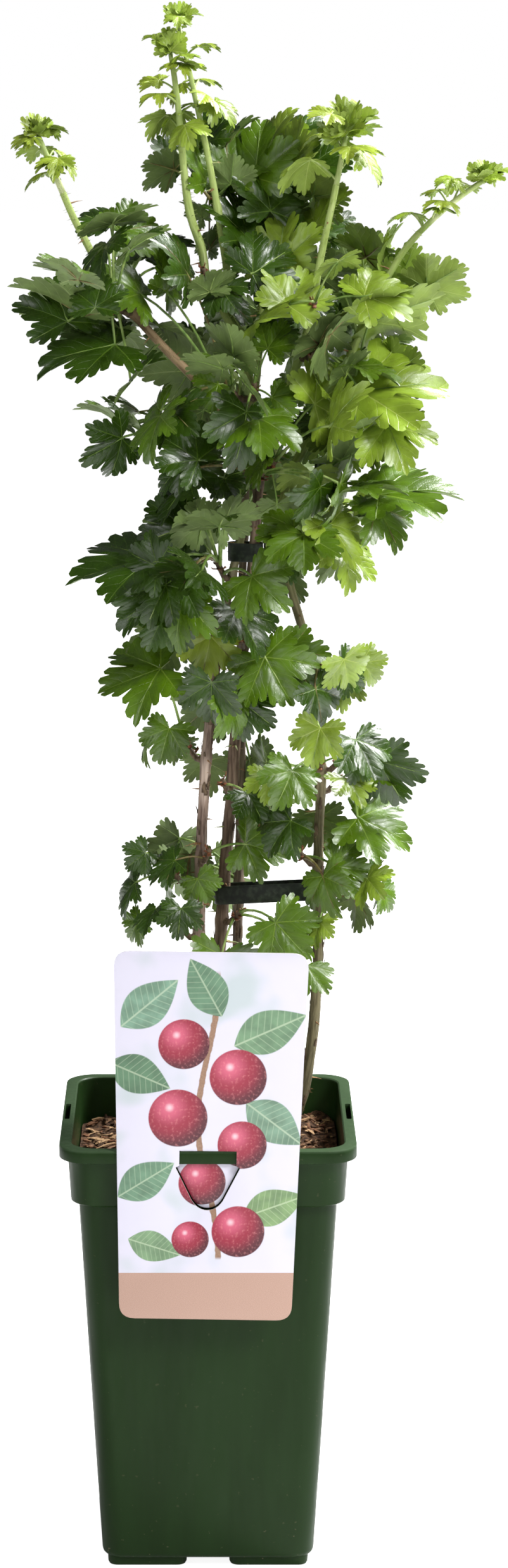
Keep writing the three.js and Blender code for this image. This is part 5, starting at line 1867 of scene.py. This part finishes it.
def oval_leaf_group():
    """A plain oval leaf printed over a ground, with its midrib and side veins."""
    tree, given, out = new_group(
        "printed oval leaf",
        [
            ("Place", "v", None), ("Centre", "v", ORIGIN), ("Turn", "f", 0.0),
            ("Half Length", "f", 18.0), ("Half Width", "f", 9.0),
            ("Tone", "c", None), ("Ground", "c", None),
        ],
        [("Colour", "c")],
    )
    place, centre, turn, half_length, half_width, tone, ground = given[:7]
    local = vector_calc(tree, "SUBTRACT", place, centre)
    links = {"Vector": local, "Angle": turn}
    spun = put(tree, "ShaderNodeVectorRotate", links, rotation_type="Y_AXIS").outputs[0]
    flat = parts_of(tree, spun)
    run = calc(tree, "DIVIDE", flat[0], half_length)
    aside = calc(tree, "ABSOLUTE", calc(tree, "DIVIDE", flat[2], half_width))
    room = calc(tree, "MAXIMUM", calc(tree, "SUBTRACT", 1.0, times(tree, run, run)), 0.0)
    edge = times(tree, room, calc(tree, "ADD", 1.0, times(tree, run, -0.28)))
    mask = span(tree, calc(tree, "SUBTRACT", edge, aside), 0.0, 0.06)
    rank = calc(tree, "SUBTRACT", run, times(tree, aside, 0.3))
    vein = span(tree, calc(tree, "PINGPONG", rank, 0.09), 0.0, 0.02, 0.5, 0.0)
    rib = span(tree, aside, 0.02, 0.06, 0.8, 0.0)
    pale = blend(tree, 0.5, tone, colour(214, 226, 196))
    shade = cloud(tree, place, 0.11, 3.0)
    body = blend(tree, span(tree, shade, 0.3, 0.7, 0.0, 0.5), tone, colour(58, 84, 62))
    body = blend(tree, calc(tree, "MAXIMUM", vein, rib), body, pale)
    tree.links.new(blend(tree, mask, ground, body), out.inputs[0])
    return tree


# A generic sprig: oval leaves (x, z, turn, half length, half width, tone) and berries (x, z, radius).
SPRIG_LEAVES = (
    (-29, 305, 40, 19, 10.5, (128, 166, 142)), (-1, 313, 118, 17, 10, (104, 142, 112)),
    (31, 291, 24, 20, 11, (116, 152, 116)), (-34, 268, -24, 17, 10, (94, 132, 100)),
    (33, 243, -38, 18, 10.5, (124, 158, 134)), (-31, 214, 32, 17, 9.5, (110, 150, 120)),
    (33, 200, 20, 17, 9.5, (132, 164, 108)), (-27, 179, -18, 14, 8, (126, 160, 118)),
)
SPRIG_BERRIES = (
    (-12, 284, 13), (15, 267, 14.5), (-15, 246, 15), (17, 232, 12.5), (-3, 212, 12),
    (15, 187, 13.5), (-9, 183, 9.5),
)


def twig_print(tree, place):
    """How much of the printed twig shows at a place: a bowed line of uneven width."""
    flat = parts_of(tree, place)
    bow = times(tree, calc(tree, "SINE", times(tree, flat[2], 0.045)), 5.0)
    off = calc(tree, "ABSOLUTE", calc(tree, "SUBTRACT", flat[0], bow))
    knots = times(tree, cloud(tree, place, 0.3, 2.0), 1.2)
    width = calc(tree, "ADD", 1.1, knots)
    inside = times(tree, span(tree, flat[2], 172, 174), span(tree, flat[2], 322, 318))
    return times(tree, span(tree, calc(tree, "SUBTRACT", width, off), 0.0, 0.5), inside)


def card_finish():
    """Printed card: a pale ground, a plain sprig with round berries, and a kraft band below."""
    berry, oval = berry_group(), oval_leaf_group()
    made, tree = new_finish("printed_card")
    place = stretch(tree, place_of(tree), (1000, 0, 1000))
    haze = span(tree, cloud(tree, place, 0.028, 2.0), 0.5, 0.7, 0.0, 0.55)
    tone = blend(tree, haze, colour(217, 214, 230), colour(166, 190, 182))
    wood = blend(tree, cloud(tree, place, 0.9, 3.0), colour(116, 84, 66), colour(176, 140, 112))
    tone = blend(tree, twig_print(tree, place), tone, wood)
    for x, z, turn, long, wide, green in SPRIG_LEAVES:
        tone = grouped(tree, oval, {
            "Place": place, "Centre": (x, 0, z), "Turn": turn * DEG, "Half Length": long,
            "Half Width": wide, "Tone": colour(*green), "Ground": tone,
        })[0]
    for x, z, radius in SPRIG_BERRIES:
        tone = grouped(tree, berry, {
            "Place": place, "Centre": (x, 0, z), "Radius": radius, "Ground": tone,
        })[0]
    fibre = cloud(tree, stretch(tree, place, (1, 1, 1.6), (0, 0.3, 0)), 2.4, 4.0, 0.7)
    fibre = span(tree, fibre, 0.35, 0.65)
    kraft = blend(tree, fibre, colour(171, 136, 119), colour(192, 156, 139))
    height = parts_of(tree, place)[2]
    band = span(tree, height, LABEL_BAND - 0.15, LABEL_BAND + 0.15, 1.0, 0.0)
    tone = blend(tree, band, tone, kraft)
    grain = grouped(tree, GRAIN, {"Vector": place_of(tree), "Scale": 1800.0})[0]
    relief = bump(tree, grain, 0.06, 0.05)
    return finished(made, tone, 0.34, relief, coat=0.25, coat_rough=0.2)


def card_back_finish():
    """The card's bare back and edges: matt pale board with short fibres."""
    made, tree = new_finish("card_back")
    fibres = cloud(tree, stretch(tree, place_of(tree), (900, 900, 1500)), 1.0, 4.0, 0.7)
    tone = blend(tree, span(tree, fibres, 0.3, 0.7), colour(206, 200, 196), colour(228, 224, 222))
    return finished(made, tone, 0.7, bump(tree, fibres, 0.15, 0.08), specular=0.3)


def printed(bm, finishes):
    """A card's mesh: the print on the faces that look forward, and bare board on the rest."""
    mesh = mesh_from(bm)
    for finish in finishes:
        mesh.materials.append(finish)
    for face in mesh.polygons:
        face.material_index = int(face.normal.y > -0.3)
    return mesh


PLATE_EDGE = 0.12


def flat_plate(outlines, back):
    """A thin plate of card with soft edges, drawn as outlines and tilted as it hangs."""
    line = bpy.data.curves.new("plate", "CURVE")
    line.dimensions = "2D"
    line.fill_mode = "BOTH"
    line.extrude = (LABEL_THICK / 2 - PLATE_EDGE) * MM
    line.bevel_depth = PLATE_EDGE * MM
    line.bevel_resolution = 2
    line.offset = -PLATE_EDGE * MM
    for outline in outlines:
        spline = line.splines.new("POLY")
        spline.points.add(len(outline) - 1)
        for point, (x, z) in zip(spline.points, outline):
            point.co = (x * MM, z * MM, 0, 1)
        spline.use_cyclic_u = True
    bm = bmesh.new()
    bm.from_mesh(baked(in_scene("plate", line)))
    bmesh.ops.scale(bm, verts=bm.verts, vec=(1 / MM, 1 / MM, 1 / MM))
    upright = Matrix.Rotation(math.pi / 2, 3, "X")
    bmesh.ops.rotate(bm, verts=bm.verts, matrix=upright, cent=ORIGIN)
    bmesh.ops.translate(bm, verts=bm.verts, vec=(0, back - LABEL_THICK / 2, 0))
    bmesh.ops.remove_doubles(bm, verts=bm.verts, dist=1e-4)
    tilt = Matrix.Rotation(LABEL_TILT * DEG, 3, "Y")
    bmesh.ops.rotate(bm, verts=bm.verts, matrix=tilt, cent=(0, 0, POT_HEIGHT))
    return bm


def bent(start, control, end, steps=6):
    """Points of a soft corner after its start."""
    return [
        tuple((1 - t) ** 2 * s + 2 * t * (1 - t) * c + t * t * e for s, c, e in zip(start, control, end))
        for t in np.linspace(0, 1, steps + 1)[1:]
    ]


def card_outline():
    """The card's outline, a little wider at its top, with round corners."""
    top, bottom, r = LABEL_TOP_WIDTH / 2, LABEL_BOTTOM_WIDTH / 2, LABEL_CORNER
    points = []
    for x, z, before, after in (
        (bottom, LABEL_BOTTOM, (-r, 0), (0, r)), (top, LABEL_TOP, (0, -r), (-r, 0)),
        (-top, LABEL_TOP, (r, 0), (0, -r)), (-bottom, LABEL_BOTTOM, (0, r), (r, 0)),
    ):
        points.append((x + before[0], z + before[1]))
        points += bent(points[-1], (x, z), (x + after[0], z + after[1]))
    return points


def tongue_outline(top, margin):
    """The tongue under the lip, or with a margin the window it leaves in the card."""
    neck, shoulder = SLOT_LENGTH / 2 - 0.7 + margin, TONGUE_SHOULDER / 2 + margin
    right = [(neck, LIP_FOOT - 0.4), (shoulder, LIP_FOOT - 1.6), (7.4 + margin, TONGUE_TIP + 4.6)]
    right += bent(right[-1], (4.6, TONGUE_TIP - margin), (0, TONGUE_TIP - margin))
    left = [(-x, z) for x, z in right[-2::-1]]
    return [(neck, top)] + right + left + [(-neck, top)]


LABEL_FOLD = POT_HEIGHT + 0.5
TONGUE_BACK = -(SLOT_MIDDLE - LABEL_THICK / 2)


def make_label():
    """The card in front of the rim, and its tongue, joined by a bridge over the lip."""
    finishes = (card_finish(), card_back_finish())
    card = flat_plate([card_outline(), tongue_outline(LABEL_FOLD, 0.4)], CARD_BACK)
    piece("label_card", printed(card, finishes), "label_card", "label")
    tongue = flat_plate([tongue_outline(LABEL_FOLD + 0.4, 0)], TONGUE_BACK)
    front = CARD_BACK - LABEL_THICK
    size = (SLOT_LENGTH - 1.4, TONGUE_BACK - front, LABEL_THICK)
    bridge = box(tongue, size, (0, (TONGUE_BACK + front) / 2, LABEL_FOLD + LABEL_THICK / 2))
    soften(tongue, list({e for v in bridge for e in v.link_edges}), 0.25, 3)
    piece("label_tongue", printed(tongue, finishes), "label_card")


# ---- The ties ----
TIE_STEPS = 6
TIE_ROUND_STEPS = 48
TIE_EDGE = 0.22


def tie_finish():
    """Black soft rubber, worn greyer in patches."""
    made, tree = new_finish("tie_black_rubber")
    place = place_of(tree)
    wear = span(tree, cloud(tree, place, 300.0, 4.0), 0.4, 0.7)
    tone = blend(tree, wear, colour(26, 32, 26), colour(52, 60, 48))
    relief = bump(tree, cloud(tree, place, 900.0, 2.0), 0.3, 0.15)
    return finished(made, tone, 0.42, relief, specular=0.4)


def long_band(half, width):
    """A closed band drawn out by half the distance of its two stems on either side."""
    bm = bmesh.new()
    bmesh.ops.create_circle(bm, segments=TIE_ROUND_STEPS, radius=width / 2 - TIE_THICK)
    for v in bm.verts:
        if abs(v.co.x) > 1e-4:
            v.co.x += math.copysign(half, v.co.x)
    edges = list(bm.edges)
    for _ in range(TIE_STEPS):
        drawn = bmesh.ops.extrude_edge_only(bm, edges=edges)
        rim = of_kind(drawn, bmesh.types.BMVert)
        edges = of_kind(drawn, bmesh.types.BMEdge)
        bmesh.ops.translate(bm, verts=rim, vec=(0, 0, TIE_HEIGHT / TIE_STEPS))
    bmesh.ops.translate(bm, verts=bm.verts, vec=(0, 0, -TIE_HEIGHT / 2))
    bmesh.ops.recalc_face_normals(bm, faces=bm.faces)
    bmesh.ops.solidify(bm, geom=bm.faces, thickness=-TIE_THICK)
    bmesh.ops.recalc_face_normals(bm, faces=bm.faces)
    sharp = [e for e in bm.edges if len(e.link_faces) == 2 and e.calc_face_angle(0) > 1.2]
    soften(bm, sharp, TIE_EDGE, 2)
    return bm


def make_ties():
    """Two soft ties, each round two stems."""
    finish = tie_finish()
    for name, (one, other, level, width, lean) in TIES.items():
        start, end = on_limb(one, level)[0], on_limb(other, level)[0]
        bm = long_band(np.linalg.norm(end - start) / 2, width)
        bearing = math.atan2(end[1] - start[1], end[0] - start[0])
        place = Matrix.Translation(Vector((start + end) / 2)) @ Matrix.Rotation(bearing, 4, "Z")
        place = place @ Matrix.Rotation(-lean * DEG, 4, "Y")
        bmesh.ops.transform(bm, matrix=place, verts=bm.verts)
        mesh = mesh_from(bm)
        mesh.materials.append(finish)
        piece(name + "_band", mesh, "tie_rubber", name)


# ---- Stage, light and camera ----
# All in metres and watts.
FLOOR_RADIUS = 12
WHITE = (1, 1, 1, 1)
FLOOR_WHITE = (0.9, 0.9, 0.9, 1)
FLOOR_GLOW = (0.12, 0.9)  # towards the object, and towards the camera
ROOM_GLOW = (0.18, 1.0)
LESS_FOR_GLEAMS = 0.11  # how much less of the room's glow shows in glossy leaves
LAMPS = {  # place, size and power
    "key": ((1.5, -1.4, 2.1), 0.8, 58),
    "fill": ((-1.8, -1.5, 1.5), 1.2, 12),
    "back": ((1.4, 0.9, 2.2), 0.8, 125),
}
AIM = Vector((0, 0, 0.4))
CAMERA_PLACE = (0, -2.0979, 0.811)
CAMERA_DOWN = 0.193  # radians
CAMERA_LENS = 96.28
CAMERA_SENSOR = 36
CAMERA_SHIFT = 0.0293


def make_floor():
    """A round pale floor that glows a little, and more towards the camera."""
    bm = bmesh.new()
    bmesh.ops.create_circle(bm, cap_ends=True, segments=96, radius=FLOOR_RADIUS)
    mesh = bpy.data.meshes.new("floor")
    bm.to_mesh(mesh)
    bm.free()
    white, tree = new_finish("floor_white")
    finished(white, FLOOR_WHITE, 0.9, specular=0.1)
    glow = tree.nodes["Principled BSDF"]
    seen = put(tree, "ShaderNodeLightPath").outputs["Is Camera Ray"]
    glow.inputs["Emission Color"].default_value = WHITE
    tree.links.new(span(tree, seen, 0.0, 1.0, *FLOOR_GLOW), glow.inputs["Emission Strength"])
    mesh.materials.append(white)
    in_scene("floor", mesh)


def make_room():
    """A pale room all round, brightest towards the camera and dimmest in gleams."""
    world = bpy.data.worlds.new("studio")
    bpy.context.scene.world = world
    world.use_nodes = True
    tree = world.node_tree
    rays = put(tree, "ShaderNodeLightPath").outputs
    glow = span(tree, rays["Is Camera Ray"], 0.0, 1.0, *ROOM_GLOW)
    glow = calc(tree, "SUBTRACT", glow, times(tree, rays["Is Glossy Ray"], LESS_FOR_GLEAMS))
    background = tree.nodes["Background"]
    background.inputs[0].default_value = WHITE
    tree.links.new(glow, background.inputs[1])


def make_stage():
    """The floor, the room, a key light, a fill and a light from behind."""
    make_floor()
    make_room()
    for name, (place, size, power) in LAMPS.items():
        lamp = bpy.data.lights.new(name, "AREA")
        lamp.size, lamp.energy = size, power
        light = in_scene(name, lamp)
        light.location = place
        light.rotation_euler = (AIM - Vector(place)).to_track_quat("-Z", "Y").to_euler()
    bpy.context.scene.view_settings.view_transform = "Standard"


def make_camera():
    """The camera, from the front and a little above."""
    data = bpy.data.cameras.new("camera")
    data.sensor_width = CAMERA_SENSOR
    data.lens = CAMERA_LENS
    data.shift_x = CAMERA_SHIFT
    camera = in_scene("camera", data)
    camera.location = CAMERA_PLACE
    camera.rotation_euler = (math.pi / 2 - CAMERA_DOWN, 0, 0)
    bpy.context.scene.camera = camera


def main():
    """Everything in turn."""
    lay_out_limbs()
    make_camera()
    make_stage()
    make_pot()
    make_soil()
    make_chips()
    make_label()
    make_ties()
    make_limbs()
    leaf_finishes = [leaf_finish(*row) for row in LEAF_FACES.values()]
    twig_finishes = make_twig_finishes()
    make_foliage(leaf_finishes, twig_finishes)
    make_tips(leaf_finishes, twig_finishes)
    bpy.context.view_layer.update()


main()
